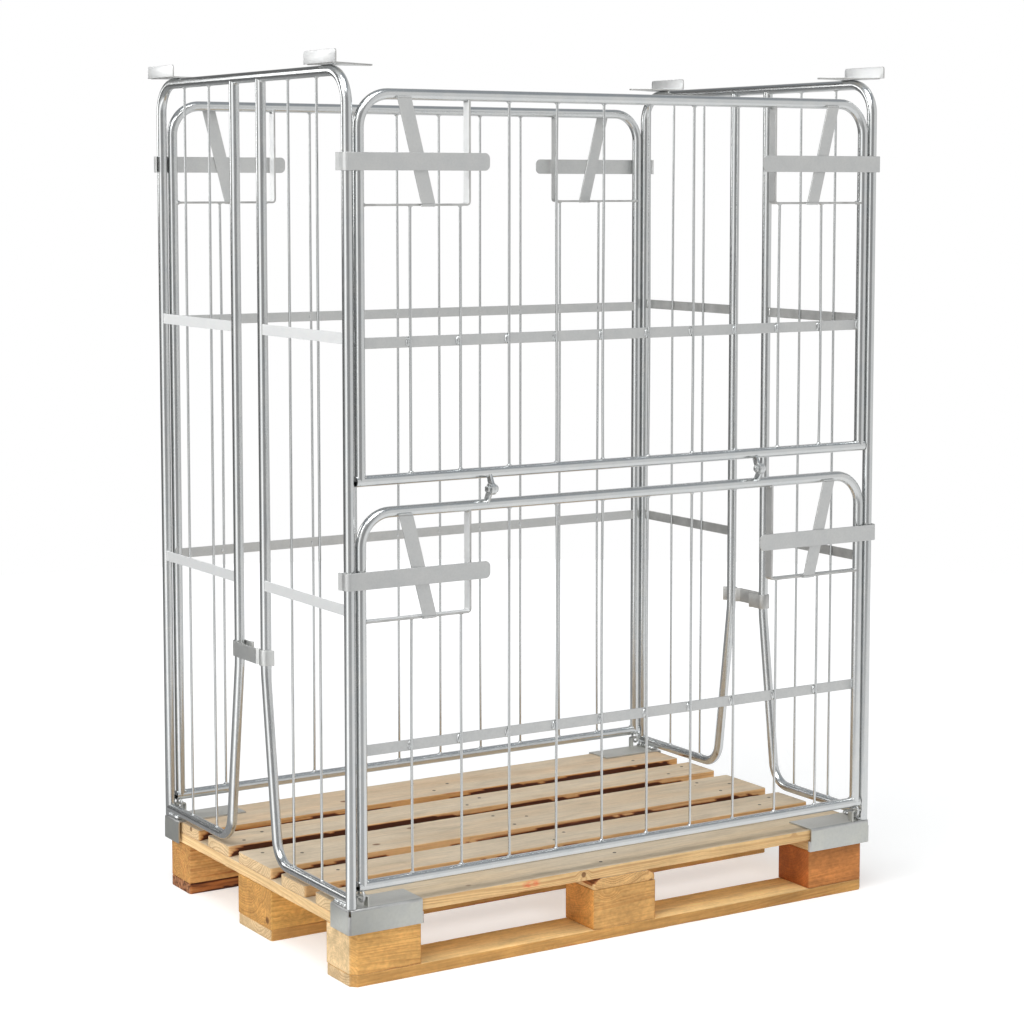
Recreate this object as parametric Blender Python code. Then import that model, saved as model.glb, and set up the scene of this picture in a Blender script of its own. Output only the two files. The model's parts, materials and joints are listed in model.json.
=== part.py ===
"""Wooden pallet with a lift-off tubular mesh collar: two side frames, a split drop front and a drop rear.

Metres, +Z up, +X along the pallet's long side, front at -Y. Origin under the middle of the pallet.
"""
import math

import bmesh
import bpy
from mathutils import Matrix, Vector

# Clearances
FIT = 0.0003             # between pieces that touch or are welded across two nodes
PLAY = 0.0005            # running gap of a clip round its tube
STRAP_GAP = 0.0004       # between a latch strap and the weld feet it twists against

# Pallet
PALLET_LENGTH = 1.200
PALLET_WIDTH = 0.800
BOARD_T = 0.022
BLOCK_H = 0.078
WIDE_BOARD = 0.145
NARROW_BOARD = 0.100
CORNER_CUT = 0.012

# Stock of the collar
TUBE_R = 0.010
TUBE_WALL = 0.002
TUBE_SIDES = 12
WIRE_R = 0.0025
WIRE_SIDES = 6
FLAT_W = 0.020
FLAT_T = 0.003
WELD_IN = 0.0004         # how deep a flat bar is pressed into the wires it crosses
SHEET_T = 0.003

# Corner shoes
SHOE_PLAY_X = 0.006
SHOE_PLAY_Y = 0.0035
SKIRT_DROP = 0.047
SKIRT_LONG = 0.1535
SKIRT_SHORT = 0.0725
SHEET_BEND = 0.005
TAB_STEP = 0.0035        # how much longer the skirt is below the deck board, before it bends in
CORNER_NOTCH = 0.013
FLAP_STEP = 0.0001       # a flap lies this much inside the sheet that it is welded to

# Side frames
FRAME_HEIGHT = 1.509     # top rail centre above the deck
CORNER_R = 0.060
POST_INSET = 0.0005
INNER_TUBE_Y = 0.057
SPLAY_DROP = 0.017       # the splay starts this far below the clip
SPLAY_FOOT_Y = 0.1043
FOOT_BEND_R = 0.050
SPLAY_BEND_R = 0.200
FOOT_RAIL = 0.018        # foot rail centre above the deck
SIDE_FLATS = (1.036, 0.548)
WELD_PAD_W = 0.008
WELD_PAD_L = 0.040

# Stacking guides
GUIDE_T = 0.003
GUIDE_LIP_H = 0.025
GUIDE_OUT = 0.0225
GUIDE_LENGTH = 0.121
GUIDE_PAST = 0.007       # how far the lip runs past the post
GUIDE_REACH = 0.0845     # from the rail in to the plate's tip
GUIDE_TIP_IN = 0.050     # tip from the lip's inner end
GUIDE_TIP_W = 0.012
GUIDE_INSET = 0.012      # the plate is this much narrower than the lip at each side
GUIDE_CORNER = 0.005

# Panels
PANEL_GAP = 0.003        # between a panel's upright and the post
WIRE_PITCH = 0.105       # about this far apart, spread evenly between the uprights
PANEL_DROP = 0.0415      # the tall panels' top rails lie this far below the frames'
LOWER_TOP = 0.721        # rail centres above the deck
UPPER_FOOT = 0.780
PANEL_FOOT = 0.042
UPPER_FLATS = (1.026,)
LOWER_FLATS = (0.289,)
REAR_FLATS = (1.031, 0.550)
BORE_DEPTH = 0.018

# Latch: a bar on a twisting strap, with the L-shaped bar that carries the strap's foot
LBAR_REACH = 0.2255      # in from the panel's upright, as are the next sizes named reach
LBAR_DROP = 0.196
LBAR_DEPTH = 0.020
LBAR_SETBACK = 0.0025    # behind the front of the tubes
LBAR_BEND = 0.006
STRAP_W = 0.034
STRAP_TOP_REACH = 0.0855
STRAP_FOOT_REACH = 0.136
STRAP_DROP = 0.0035
FOOT_H = 0.0035
FOOT_SINK = 0.003
LATCH_BAR_H = 0.032
LATCH_DROP = 0.119
HANDLE_REACH = 0.2625
HOOK_CLEAR = 0.0015
HOOK_REACH = 0.016
HOOK_FLARE = 0.010
HANDLE_ROUND = 0.013

# Hinges between the two front panels
HINGE_REACH = 0.2655
HINGE_OUT = 0.0165
HINGE_DROP = 0.029
LUG_T = 0.005
LUG_R = 0.011
LUG_NECK = 0.014
BOLT_R = 0.004
BOLT_HEAD_R = 0.0072
BOLT_HEAD_T = 0.0055
EYE_SIDES = 16

# Foot hinges: a bracket strip on the shoe inside a C hook on the panel
STRIP_RISE = 0.0245      # strip centre above the deck
STRIP_W = 0.014
STRIP_REACH = 0.0215     # in from the post's side
HOOK_RING_R = 0.0105
HOOK_WIRE_R = 0.0025
RING_STEPS = 20
RING_SIDES = 8

# Side clips
CLIP_RISE = 0.409
CLIP_H = 0.020
CLIP_T = 0.0025
CLIP_FREE = 0.022
CLIP_FLARE = 0.008
CLIP_VALLEY = 0.004
CLIP_STEPS = 8
CLIP_GRIP = 0.95         # share of a half turn that the snap end wraps

ZINC = (0.62, 0.64, 0.66, 1.0)
PINE = (0.72, 0.55, 0.36, 1.0)

DECK_Z = BLOCK_H + 3 * BOARD_T
SHOE_X = PALLET_LENGTH / 2 + SHOE_PLAY_X + SHEET_T
SHOE_Y = PALLET_WIDTH / 2 + SHOE_PLAY_Y + SHEET_T
PLATE_TOP = DECK_Z + FIT + SHEET_T
POST_X = SHOE_X - POST_INSET - TUBE_R
POST_Y = SHOE_Y - POST_INSET - TUBE_R
UPRIGHT_X = POST_X - 2 * TUBE_R - PANEL_GAP
PANEL_END_X = UPRIGHT_X + TUBE_R
TOP_RAIL_Z = DECK_Z + FRAME_HEIGHT
STRIP_Z = DECK_Z + STRIP_RISE
STRAP_BACK = POST_Y + TUBE_R + FIT
BAR_BACK = STRAP_BACK + FLAT_T + FIT
LBAR_FRONT = POST_Y + TUBE_R - LBAR_SETBACK
PANEL_TOP = FRAME_HEIGHT - PANEL_DROP
LBAR_X = UPRIGHT_X - LBAR_REACH
STRAP_TOP_X = UPRIGHT_X - STRAP_TOP_REACH
STRAP_FOOT_X = UPRIGHT_X - STRAP_FOOT_REACH
HANDLE_X = UPRIGHT_X - HANDLE_REACH
HINGE_X = UPRIGHT_X - HINGE_REACH
HINGE_Z = DECK_Z + UPPER_FOOT - HINGE_DROP
STRIP_END_X = POST_X - TUBE_R - STRIP_REACH
HOOK_X = POST_X - TUBE_R - STRIP_REACH / 2
SPLAY_START = CLIP_RISE - CLIP_H / 2 - SPLAY_DROP
GUIDE_FAR = POST_Y + GUIDE_PAST
GUIDE_NEAR = GUIDE_FAR - GUIDE_LENGTH
GUIDE_TIP_X = POST_X - GUIDE_REACH
GUIDE_TIP_Y = GUIDE_NEAR + GUIDE_TIP_IN


def clear_scene():
    for old in list(bpy.data.objects):
        bpy.data.objects.remove(old, do_unlink=True)


def make_material(name, color, metallic, roughness):
    mat = bpy.data.materials.new(name)
    mat.use_nodes = True
    shader = mat.node_tree.nodes["Principled BSDF"]
    shader.inputs["Base Color"].default_value = color
    shader.inputs["Metallic"].default_value = metallic
    shader.inputs["Roughness"].default_value = roughness
    return mat


def mesh_of(bm, name="work"):
    """Turn a bmesh into an unlinked mesh with its faces outward."""
    bmesh.ops.recalc_face_normals(bm, faces=bm.faces)
    mesh = bpy.data.meshes.new(name)
    bm.to_mesh(mesh)
    bm.free()
    return mesh


def joined(*meshes):
    """One mesh holding several solids that stand clear of each other."""
    bm = bmesh.new()
    for mesh in meshes:
        bm.from_mesh(mesh)
    return mesh_of(bm)


def moved(mesh, matrix):
    mesh.transform(matrix)
    if matrix.determinant() < 0:
        mesh.flip_normals()
    return mesh


def mirrored(mesh, sx, sy):
    """Copy a mesh made for +X, +Y into the corner with the given signs."""
    return moved(mesh.copy(), Matrix.Diagonal((sx, sy, 1, 1)))


def combine(base, tool, operation="UNION"):
    """Exact boolean of two meshes, as a new mesh."""
    body = bpy.data.objects.new("body", base)
    other = bpy.data.objects.new("tool", tool)
    for work in (body, other):
        bpy.context.scene.collection.objects.link(work)
    step = body.modifiers.new("cut", "BOOLEAN")
    step.operation = operation
    step.solver = "EXACT"
    step.object = other
    result = bpy.data.meshes.new_from_object(body.evaluated_get(bpy.context.evaluated_depsgraph_get()))
    for work in (body, other):
        bpy.data.objects.remove(work, do_unlink=True)
    return result


def welded(base, *tools):
    for tool in tools:
        base = combine(base, tool)
    return base


def box(low, high):
    bm = bmesh.new()
    bmesh.ops.create_cube(bm, size=1.0)
    size = [b - a for a, b in zip(low, high)]
    middle = [(a + b) / 2 for a, b in zip(low, high)]
    bmesh.ops.scale(bm, vec=size, verts=bm.verts)
    bmesh.ops.translate(bm, vec=middle, verts=bm.verts)
    return mesh_of(bm)


def rod(start, end, radius, sides, turn=0.0):
    """A straight round bar; turn rotates its facets about its own axis."""
    start, end = Vector(start), Vector(end)
    along = end - start
    bm = bmesh.new()
    bmesh.ops.create_cone(bm, cap_ends=True, segments=sides, radius1=radius, radius2=radius,
                          depth=along.length)
    matrix = (Matrix.Translation((start + end) / 2) @ along.to_track_quat("Z", "Y").to_matrix().to_4x4()
              @ Matrix.Rotation(turn, 4, "Z"))
    bmesh.ops.transform(bm, matrix=matrix, verts=bm.verts)
    return mesh_of(bm)


def rounded(points, radii, steps=5):
    """A path of 2D points with each inner corner turned into an arc of its radius."""
    path = [Vector(points[0])]
    for before, corner, after, radius in zip(points, points[1:], points[2:], radii):
        corner = Vector(corner)
        back = (Vector(before) - corner).normalized()
        ahead = (Vector(after) - corner).normalized()
        half = back.angle(ahead) / 2
        reach = radius / math.tan(half)
        centre = corner + (back + ahead).normalized() * (radius / math.sin(half))
        first = corner + back * reach - centre
        last = corner + ahead * reach - centre
        sweep = first.angle_signed(last)
        for i in range(steps + 1):
            turn = Matrix.Rotation(-sweep * i / steps, 2)
            path.append(centre + turn @ first)
    path.append(Vector(points[-1]))
    return path


def bent_tube(points, radius, sides=TUBE_SIDES):
    """A tube swept along 3D points, closed at its ends, from a bevelled curve."""
    curve = bpy.data.curves.new("bend", "CURVE")
    curve.dimensions = "3D"
    curve.bevel_depth = radius
    curve.bevel_resolution = (sides - 4) // 2
    curve.use_fill_caps = True
    spline = curve.splines.new("POLY")
    spline.points.add(len(points) - 1)
    for knot, place in zip(spline.points, points):
        knot.co = (*place, 1.0)
    work = bpy.data.objects.new("bend", curve)
    bpy.context.scene.collection.objects.link(work)
    mesh = bpy.data.meshes.new_from_object(work.evaluated_get(bpy.context.evaluated_depsgraph_get()))
    bpy.data.objects.remove(work, do_unlink=True)
    bm = bmesh.new()
    bm.from_mesh(mesh)
    bmesh.ops.remove_doubles(bm, verts=bm.verts, dist=0.00001)
    return mesh_of(bm)


AXES = {"X": Matrix(((0, 0, 1), (1, 0, 0), (0, 1, 0))),
        "Y": Matrix(((1, 0, 0), (0, 0, 1), (0, 1, 0))),
        "Z": Matrix(((1, 0, 0), (0, 1, 0), (0, 0, 1)))}


def strip(path, thickness, axis, low, high):
    """A flat strip bent along a 2D path (YZ, XZ or XY) and as wide as low to high on the axis."""
    sides = []
    for i, here in enumerate(path):
        before = (here - path[i - 1]).normalized() if i else (path[1] - here).normalized()
        after = (path[i + 1] - here).normalized() if i + 1 < len(path) else before
        across = Vector((-(before + after).y, (before + after).x)).normalized()
        reach = thickness / 2 / across.dot(Vector((-before.y, before.x)))
        sides.append((here + across * reach, here - across * reach))
    bm = bmesh.new()
    rows = []
    for left, right in sides:
        rows.append([bm.verts.new(AXES[axis] @ Vector((*corner, level)))
                     for corner, level in ((left, low), (right, low), (right, high), (left, high))])
    bm.faces.new(rows[0])
    bm.faces.new(rows[-1])
    for row, follow in zip(rows, rows[1:]):
        for k in range(4):
            bm.faces.new((row[k], row[(k + 1) % 4], follow[(k + 1) % 4], follow[k]))
    return mesh_of(bm)


def prism(outline, axis, low, high):
    """A flat plate with a 2D outline, from low to high on the axis."""
    bm = bmesh.new()
    face = bm.faces.new([bm.verts.new(AXES[axis] @ Vector((*point, low))) for point in outline])
    grown = bmesh.ops.extrude_face_region(bm, geom=[face])
    verts = [item for item in grown["geom"] if isinstance(item, bmesh.types.BMVert)]
    bmesh.ops.translate(bm, vec=AXES[axis] @ Vector((0, 0, high - low)), verts=verts)
    return mesh_of(bm)


def round_edges(mesh, axis, picked, radius, steps=3):
    """Round the edges that run along the axis and whose middle passes the given test."""
    bm = bmesh.new()
    bm.from_mesh(mesh)
    along = AXES[axis] @ Vector((0, 0, 1))
    edges = []
    for edge in bm.edges:
        first, last = (v.co for v in edge.verts)
        if abs((last - first).normalized().dot(along)) > 0.99 and picked((first + last) / 2):
            edges.append(edge)
    bmesh.ops.bevel(bm, geom=edges, offset=radius, segments=steps, profile=0.5, affect="EDGES")
    return mesh_of(bm)


def add_part(name, mesh, mat, origin=(0, 0, 0)):
    """Put a finished mesh into the model as one named object with its origin where asked."""
    bm = bmesh.new()
    bm.from_mesh(mesh)
    bmesh.ops.remove_doubles(bm, verts=bm.verts, dist=0.000005)
    bmesh.ops.dissolve_degenerate(bm, edges=bm.edges, dist=0.000005)
    final = mesh_of(bm, name)
    final.transform(Matrix.Translation(-Vector(origin)))
    final.materials.clear()
    final.materials.append(mat)
    final.shade_smooth()
    final.set_sharp_from_angle(angle=math.radians(35))
    part = bpy.data.objects.new(name, final)
    part.location = origin
    MODEL.objects.link(part)
    return part


def side_word(sx):
    return "right" if sx > 0 else "left"


def end_word(sy):
    return "rear" if sy > 0 else "front"


def wire_places():
    bays = round(2 * UPRIGHT_X / WIRE_PITCH)
    return [UPRIGHT_X * (2 * i / bays - 1) for i in range(1, bays)]


def pallet_boards():
    """Deck, cross and skid boards of a four-way flat pallet."""
    half = PALLET_LENGTH / 2
    widths = (WIDE_BOARD, NARROW_BOARD, WIDE_BOARD, NARROW_BOARD, WIDE_BOARD)
    gap = (PALLET_WIDTH - sum(widths)) / (len(widths) - 1)
    front = -PALLET_WIDTH / 2
    for i, width in enumerate(widths):
        low, high = (-half, front, DECK_Z - BOARD_T + FIT), (half, front + width, DECK_Z)
        add_part(f"deck_board_{i + 1}", box(low, high), WOOD)
        front += width + gap
    cross_z = BOARD_T + BLOCK_H
    for word, x in (("left", -1), ("middle", 0), ("right", 1)):
        middle = x * (half - WIDE_BOARD / 2)
        low = (middle - WIDE_BOARD / 2, -PALLET_WIDTH / 2, cross_z + FIT)
        high = (middle + WIDE_BOARD / 2, PALLET_WIDTH / 2, cross_z + BOARD_T)
        add_part(f"cross_board_{word}", box(low, high), WOOD)
    for word, row in (("front", -1), ("middle", 0), ("rear", 1)):
        width = WIDE_BOARD if row == 0 else NARROW_BOARD
        middle = row * (PALLET_WIDTH / 2 - NARROW_BOARD / 2)
        board = box((-half, middle - width / 2, 0), (half, middle + width / 2, BOARD_T))
        if row:
            edge = row * PALLET_WIDTH / 2
            board = round_edges(board, "Z", lambda co: abs(co.y - edge) < FIT, CORNER_CUT, steps=1)
        add_part(f"skid_board_{word}", board, WOOD)


def pallet_blocks():
    """Nine spacer blocks; the four at the corners have their outer edge cut off."""
    half = PALLET_LENGTH / 2
    for end, row in (("front", -1), ("middle", 0), ("rear", 1)):
        depth = WIDE_BOARD if row == 0 else NARROW_BOARD
        y = row * (PALLET_WIDTH / 2 - NARROW_BOARD / 2)
        for word, column in (("left", -1), ("middle", 0), ("right", 1)):
            x = column * (half - WIDE_BOARD / 2)
            block = box((x - WIDE_BOARD / 2, y - depth / 2, BOARD_T + FIT),
                        (x + WIDE_BOARD / 2, y + depth / 2, BOARD_T + BLOCK_H))
            if row and column:
                block = round_edges(block, "Z", lambda co: (co.x * column > half - FIT
                                                            and co.y * row > PALLET_WIDTH / 2 - FIT),
                                    CORNER_CUT, steps=1)
            add_part(f"block_{end}_{word}", block, WOOD)


def foot_bracket():
    """Bent strip on the shoe plate beside the post; the panel's hook turns round it."""
    path = rounded([(POST_X - TUBE_R - FIT, STRIP_Z), (STRIP_END_X, STRIP_Z),
                    (STRIP_END_X, PLATE_TOP - SHEET_T / 2)], [SHEET_T], steps=3)
    return strip(path, FLAT_T, "Y", POST_Y - STRIP_W / 2, POST_Y + STRIP_W / 2)


def corner_shoe():
    """Folded sheet cap for one pallet corner, drawn for +X, +Y."""
    skin = SHEET_T / 2
    mid_z = PLATE_TOP - skin
    low_z = PLATE_TOP - SKIRT_DROP
    in_x, in_y = SHOE_X - SKIRT_LONG, SHOE_Y - SKIRT_SHORT
    out_x, out_y = SHOE_X - skin, SHOE_Y - skin
    bend = SHEET_BEND - skin
    inner_x, inner_y = SHOE_X - SHEET_BEND, SHOE_Y - SHEET_BEND
    over = rounded([(in_y, mid_z), (out_y, mid_z), (out_y, low_z)], [bend], steps=4)
    plate = strip(over, SHEET_T, "X", in_x, inner_x)
    flap_z = mid_z - FLAP_STEP
    over = rounded([(inner_x - SHEET_T, flap_z), (out_x, flap_z), (out_x, low_z + FLAP_STEP)], [bend], steps=4)
    flap = strip(over, SHEET_T, "Y", in_y + FLAP_STEP, inner_y)
    fold_x, fold_y = out_x - FLAP_STEP, out_y - FLAP_STEP
    fold = rounded([(inner_x - SHEET_T, fold_y), (fold_x, fold_y), (fold_x, inner_y - SHEET_T)], [bend], steps=4)
    corner = strip(fold, SHEET_T, "Z", low_z + 2 * FLAP_STEP, PLATE_TOP - CORNER_NOTCH)
    tab_x = in_x - TAB_STEP + skin
    fold = rounded([(in_x + SHEET_BEND, fold_y), (tab_x, fold_y), (tab_x, PALLET_WIDTH / 2 + FIT)],
                   [SHEET_T - skin / 2], steps=3)
    tab = strip(fold, SHEET_T, "Z", low_z + FLAP_STEP, DECK_Z - BOARD_T - FIT)
    return welded(plate, flap, corner, tab, foot_bracket())


def build_shoes():
    shoe = corner_shoe()
    for sx in (-1, 1):
        for sy in (-1, 1):
            add_part(f"corner_shoe_{end_word(sy)}_{side_word(sx)}", mirrored(shoe, sx, sy), STEEL)


def side_frame():
    """Post hoop with two splayed inner tubes, wires, flats and foot rails, drawn for +X."""
    foot_z = DECK_Z + FOOT_RAIL
    hoop = rounded([(-POST_Y, PLATE_TOP + FIT), (-POST_Y, TOP_RAIL_Z), (POST_Y, TOP_RAIL_Z),
                    (POST_Y, PLATE_TOP + FIT)], [CORNER_R, CORNER_R], steps=6)
    frame = bent_tube([(POST_X, p.x, p.y) for p in hoop], TUBE_R)
    inner = rounded([(INNER_TUBE_Y, TOP_RAIL_Z), (INNER_TUBE_Y, DECK_Z + SPLAY_START),
                     (SPLAY_FOOT_Y, foot_z), (POST_Y, foot_z)], [SPLAY_BEND_R, FOOT_BEND_R], steps=5)
    legs = [bent_tube([(POST_X, sy * p.x, p.y) for p in inner], TUBE_R - FIT) for sy in (-1, 1)]
    near = POST_X + WIRE_R - WELD_IN
    wires, flats, pads = [], [], []
    for sy in (-1, 1):
        for share in (1, 2):
            y = sy * (INNER_TUBE_Y + (POST_Y - INNER_TUBE_Y) * share / 3)
            wires.append(rod((POST_X, y, foot_z), (POST_X, y, TOP_RAIL_Z), WIRE_R, WIRE_SIDES))
        span = sorted((sy * INNER_TUBE_Y, sy * POST_Y))
        for rise in SIDE_FLATS:
            z = DECK_Z + rise
            flats.append(box((near, span[0], z - FLAT_W / 2), (near + FLAT_T, span[1], z + FLAT_W / 2)))
        span = sorted((sy * POST_Y, sy * (POST_Y - TUBE_R - WELD_PAD_L)))
        pads.append(box((POST_X - WELD_PAD_W / 2, span[0], PLATE_TOP + FIT * 2),
                        (POST_X + WELD_PAD_W / 2, span[1], foot_z)))
    return welded(frame, joined(*legs), joined(*wires), joined(*flats), joined(*pads))


def build_side_frames():
    frame = side_frame()
    for sx in (-1, 1):
        add_part(f"side_frame_{side_word(sx)}", mirrored(frame, sx, 1), STEEL)


def stack_guide():
    """Tapering plate on the top rail with an upright lip outside, drawn for +X, +Y."""
    base = TOP_RAIL_Z + TUBE_R + FIT
    out = POST_X + GUIDE_OUT
    top = base + GUIDE_LIP_H
    plate = prism([(out + GUIDE_T / 2, GUIDE_NEAR + GUIDE_INSET), (out + GUIDE_T / 2, GUIDE_FAR - GUIDE_INSET),
                   (GUIDE_TIP_X, GUIDE_TIP_Y + GUIDE_TIP_W / 2), (GUIDE_TIP_X, GUIDE_TIP_Y - GUIDE_TIP_W / 2)],
                  "Z", base, base + GUIDE_T)
    lip = box((out, GUIDE_NEAR, base + GUIDE_T / 2), (out + GUIDE_T, GUIDE_FAR, top))
    lip = round_edges(lip, "X", lambda co: co.z > top - FIT, GUIDE_CORNER)
    return welded(plate, lip)


def build_guides():
    guide = stack_guide()
    for sx in (-1, 1):
        for sy in (-1, 1):
            add_part(f"stack_guide_{end_word(sy)}_{side_word(sx)}", mirrored(guide, sx, sy), STEEL)


def strap_line(top_z, z):
    """X of the latch strap's centre line at a height, for the right-hand latch."""
    return STRAP_TOP_X + (STRAP_FOOT_X - STRAP_TOP_X) * (top_z - z) / LBAR_DROP


def strap_slice(top_z, low_z, high_z, back, front):
    """A length of the slanting strap between two heights, drawn for +X, +Y."""
    half = STRAP_W / 2 * math.hypot(LBAR_DROP, STRAP_TOP_X - STRAP_FOOT_X) / LBAR_DROP
    low, high = strap_line(top_z, low_z), strap_line(top_z, high_z)
    return prism([(low - half, low_z), (low + half, low_z), (high + half, high_z), (high - half, high_z)],
                 "Y", back, front)


def strap_ends(top_z):
    """Heights where the moving strap begins and stops between its two weld feet."""
    return top_z - LBAR_DROP + FOOT_H / 2 + STRAP_GAP, top_z - STRAP_DROP - FOOT_H - STRAP_GAP


def latch_seat(top_z):
    """L-shaped bar and the two weld feet of one strap, drawn for +X, +Y; the panel carries them."""
    leg_z = top_z - LBAR_DROP
    path = rounded([(LBAR_X, top_z - TUBE_R / 2), (LBAR_X, leg_z), (UPRIGHT_X - TUBE_R / 2, leg_z)],
                   [LBAR_BEND], steps=3)
    lbar = strip(path, FLAT_T, "Y", LBAR_FRONT - LBAR_DEPTH, LBAR_FRONT)
    face = STRAP_BACK + FLAT_T
    low = strap_slice(top_z, leg_z - FOOT_H / 2, leg_z + FOOT_H / 2, LBAR_FRONT - FOOT_SINK, face)
    high = strap_slice(top_z, top_z - STRAP_DROP - FOOT_H, top_z - STRAP_DROP,
                       POST_Y + TUBE_R - FOOT_SINK, face)
    return lbar, low, high


def panel(top_z, foot_z, flat_heights):
    """Tube hoop on a straight rail with its wires, flats and latch seats, drawn for the rear."""
    hoop = rounded([(-UPRIGHT_X, foot_z), (-UPRIGHT_X, top_z), (UPRIGHT_X, top_z), (UPRIGHT_X, foot_z)],
                   [CORNER_R, CORNER_R], steps=6)
    frame = bent_tube([(p.x, POST_Y, p.y) for p in hoop], TUBE_R)
    rail = rod((-PANEL_END_X, POST_Y, foot_z), (PANEL_END_X, POST_Y, foot_z), TUBE_R, TUBE_SIDES,
               math.pi / TUBE_SIDES)
    wires = []
    for x in wire_places():
        top = top_z - LBAR_DROP if abs(x) > LBAR_X else top_z
        wires.append(rod((x, POST_Y, foot_z), (x, POST_Y, top), WIRE_R, WIRE_SIDES, math.pi / WIRE_SIDES))
    face = POST_Y - WIRE_R + WELD_IN
    flats = [box((-UPRIGHT_X, face - FLAT_T, z - FLAT_W / 2), (UPRIGHT_X, face, z + FLAT_W / 2))
             for z in flat_heights]
    seats = [[mirrored(piece, sx, 1) for sx in (-1, 1)] for piece in latch_seat(top_z)]
    frame = welded(frame, rail, joined(*wires), joined(*flats), *(joined(*pair) for pair in seats))
    bores = [rod((sx * (PANEL_END_X - BORE_DEPTH), POST_Y, foot_z), (sx * (PANEL_END_X + FIT), POST_Y, foot_z),
                 TUBE_R - TUBE_WALL, TUBE_SIDES) for sx in (-1, 1)]
    return combine(frame, joined(*bores), "DIFFERENCE")


def latch_bar(top_z):
    """Flat bar with a rounded handle end and a hook round the post, drawn for +X, +Y."""
    y = BAR_BACK + FLAT_T / 2
    hook_x = POST_X + TUBE_R + HOOK_CLEAR + FLAT_T / 2
    path = rounded([(HANDLE_X, y), (hook_x, y), (hook_x, y - HOOK_REACH),
                    (hook_x + HOOK_FLARE, y - HOOK_REACH - HOOK_FLARE)], [FLAT_T, FLAT_T * 2], steps=3)
    z = top_z - LATCH_DROP
    bar = strip(path, FLAT_T, "Z", z - LATCH_BAR_H / 2, z + LATCH_BAR_H / 2)
    return round_edges(bar, "Y", lambda co: co.x < HANDLE_X + FIT, HANDLE_ROUND, steps=5)


def build_latches(level, top_z, sy):
    """Both latches of one panel: a bar and the strap it is welded to."""
    low, high = strap_ends(top_z)
    bar = latch_bar(top_z)
    strap = strap_slice(top_z, low, high, STRAP_BACK, STRAP_BACK + FLAT_T)
    z = top_z - LATCH_DROP
    for sx in (-1, 1):
        axis = (sx * strap_line(top_z, z), sy * (STRAP_BACK + FLAT_T / 2), z)
        word = side_word(sx)
        add_part(f"latch_bar_{level}_{word}", mirrored(bar, sx, sy), STEEL, axis)
        add_part(f"latch_strap_{level}_{word}", mirrored(strap, sx, sy), STEEL, axis)


def panel_hook():
    """C-shaped rod under a panel's rail round the shoe's bracket strip, drawn for +X, +Y."""
    opening = math.radians(20)
    points = []
    for i in range(RING_STEPS + 1):
        turn = opening + (2 * math.pi - 2 * opening) * i / RING_STEPS
        points.append((HOOK_X, POST_Y + HOOK_RING_R * math.sin(turn), STRIP_Z + HOOK_RING_R * math.cos(turn)))
    ring = bent_tube(points, HOOK_WIRE_R, RING_SIDES)
    rail_z = DECK_Z + PANEL_FOOT
    room = rod((HOOK_X - TUBE_R, POST_Y, rail_z), (HOOK_X + TUBE_R, POST_Y, rail_z), TUBE_R + FIT * 2,
               TUBE_SIDES, math.pi / TUBE_SIDES)
    return combine(ring, room, "DIFFERENCE")


def hinge_lug(rail_z, low_x, high_x):
    """Plate from a rail out to the hinge bolt, drawn for +X, +Y."""
    axis_y, axis_z = POST_Y + HINGE_OUT, HINGE_Z
    eye = rod((low_x, axis_y, axis_z), (high_x, axis_y, axis_z), LUG_R, EYE_SIDES)
    neck = strip([Vector((axis_y, axis_z)), Vector((POST_Y, rail_z))], LUG_NECK, "X",
                 low_x + FIT / 3, high_x - FIT / 3)
    lug = combine(eye, neck)
    room = rod((low_x - FIT, POST_Y, rail_z), (high_x + FIT, POST_Y, rail_z), TUBE_R + FIT * 2, TUBE_SIDES)
    hole = rod((low_x - FIT, axis_y, axis_z), (high_x + FIT, axis_y, axis_z), BOLT_R + FIT, EYE_SIDES)
    return combine(combine(lug, room, "DIFFERENCE"), hole, "DIFFERENCE")


def hinge_bolt():
    """Hexagon bolt and nut through both lugs, drawn for +X, +Y."""
    y = POST_Y + HINGE_OUT
    inner, outer = HINGE_X - LUG_T - FIT * 2, HINGE_X + LUG_T + FIT * 2
    shank = rod((inner - BOLT_HEAD_T - BOLT_R / 2, y, HINGE_Z), (outer + BOLT_HEAD_T / 2, y, HINGE_Z), BOLT_R,
                TUBE_SIDES)
    head = rod((outer, y, HINGE_Z), (outer + BOLT_HEAD_T, y, HINGE_Z), BOLT_HEAD_R, 6)
    nut = rod((inner - BOLT_HEAD_T, y, HINGE_Z), (inner, y, HINGE_Z), BOLT_HEAD_R, 6)
    return welded(shank, joined(head, nut))


def build_fold_hinges():
    upper = hinge_lug(DECK_Z + UPPER_FOOT, HINGE_X - LUG_T - FIT / 2, HINGE_X - FIT / 2)
    lower = hinge_lug(DECK_Z + LOWER_TOP, HINGE_X + FIT / 2, HINGE_X + LUG_T + FIT / 2)
    bolt = hinge_bolt()
    for sx in (-1, 1):
        word = side_word(sx)
        origin = (sx * HINGE_X, -(POST_Y + HINGE_OUT), HINGE_Z)
        add_part(f"fold_lug_upper_{word}", mirrored(upper, sx, -1), STEEL, origin)
        add_part(f"fold_lug_lower_{word}", mirrored(lower, sx, -1), STEEL, origin)
        add_part(f"fold_bolt_{word}", mirrored(bolt, sx, -1), STEEL, origin)


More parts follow.
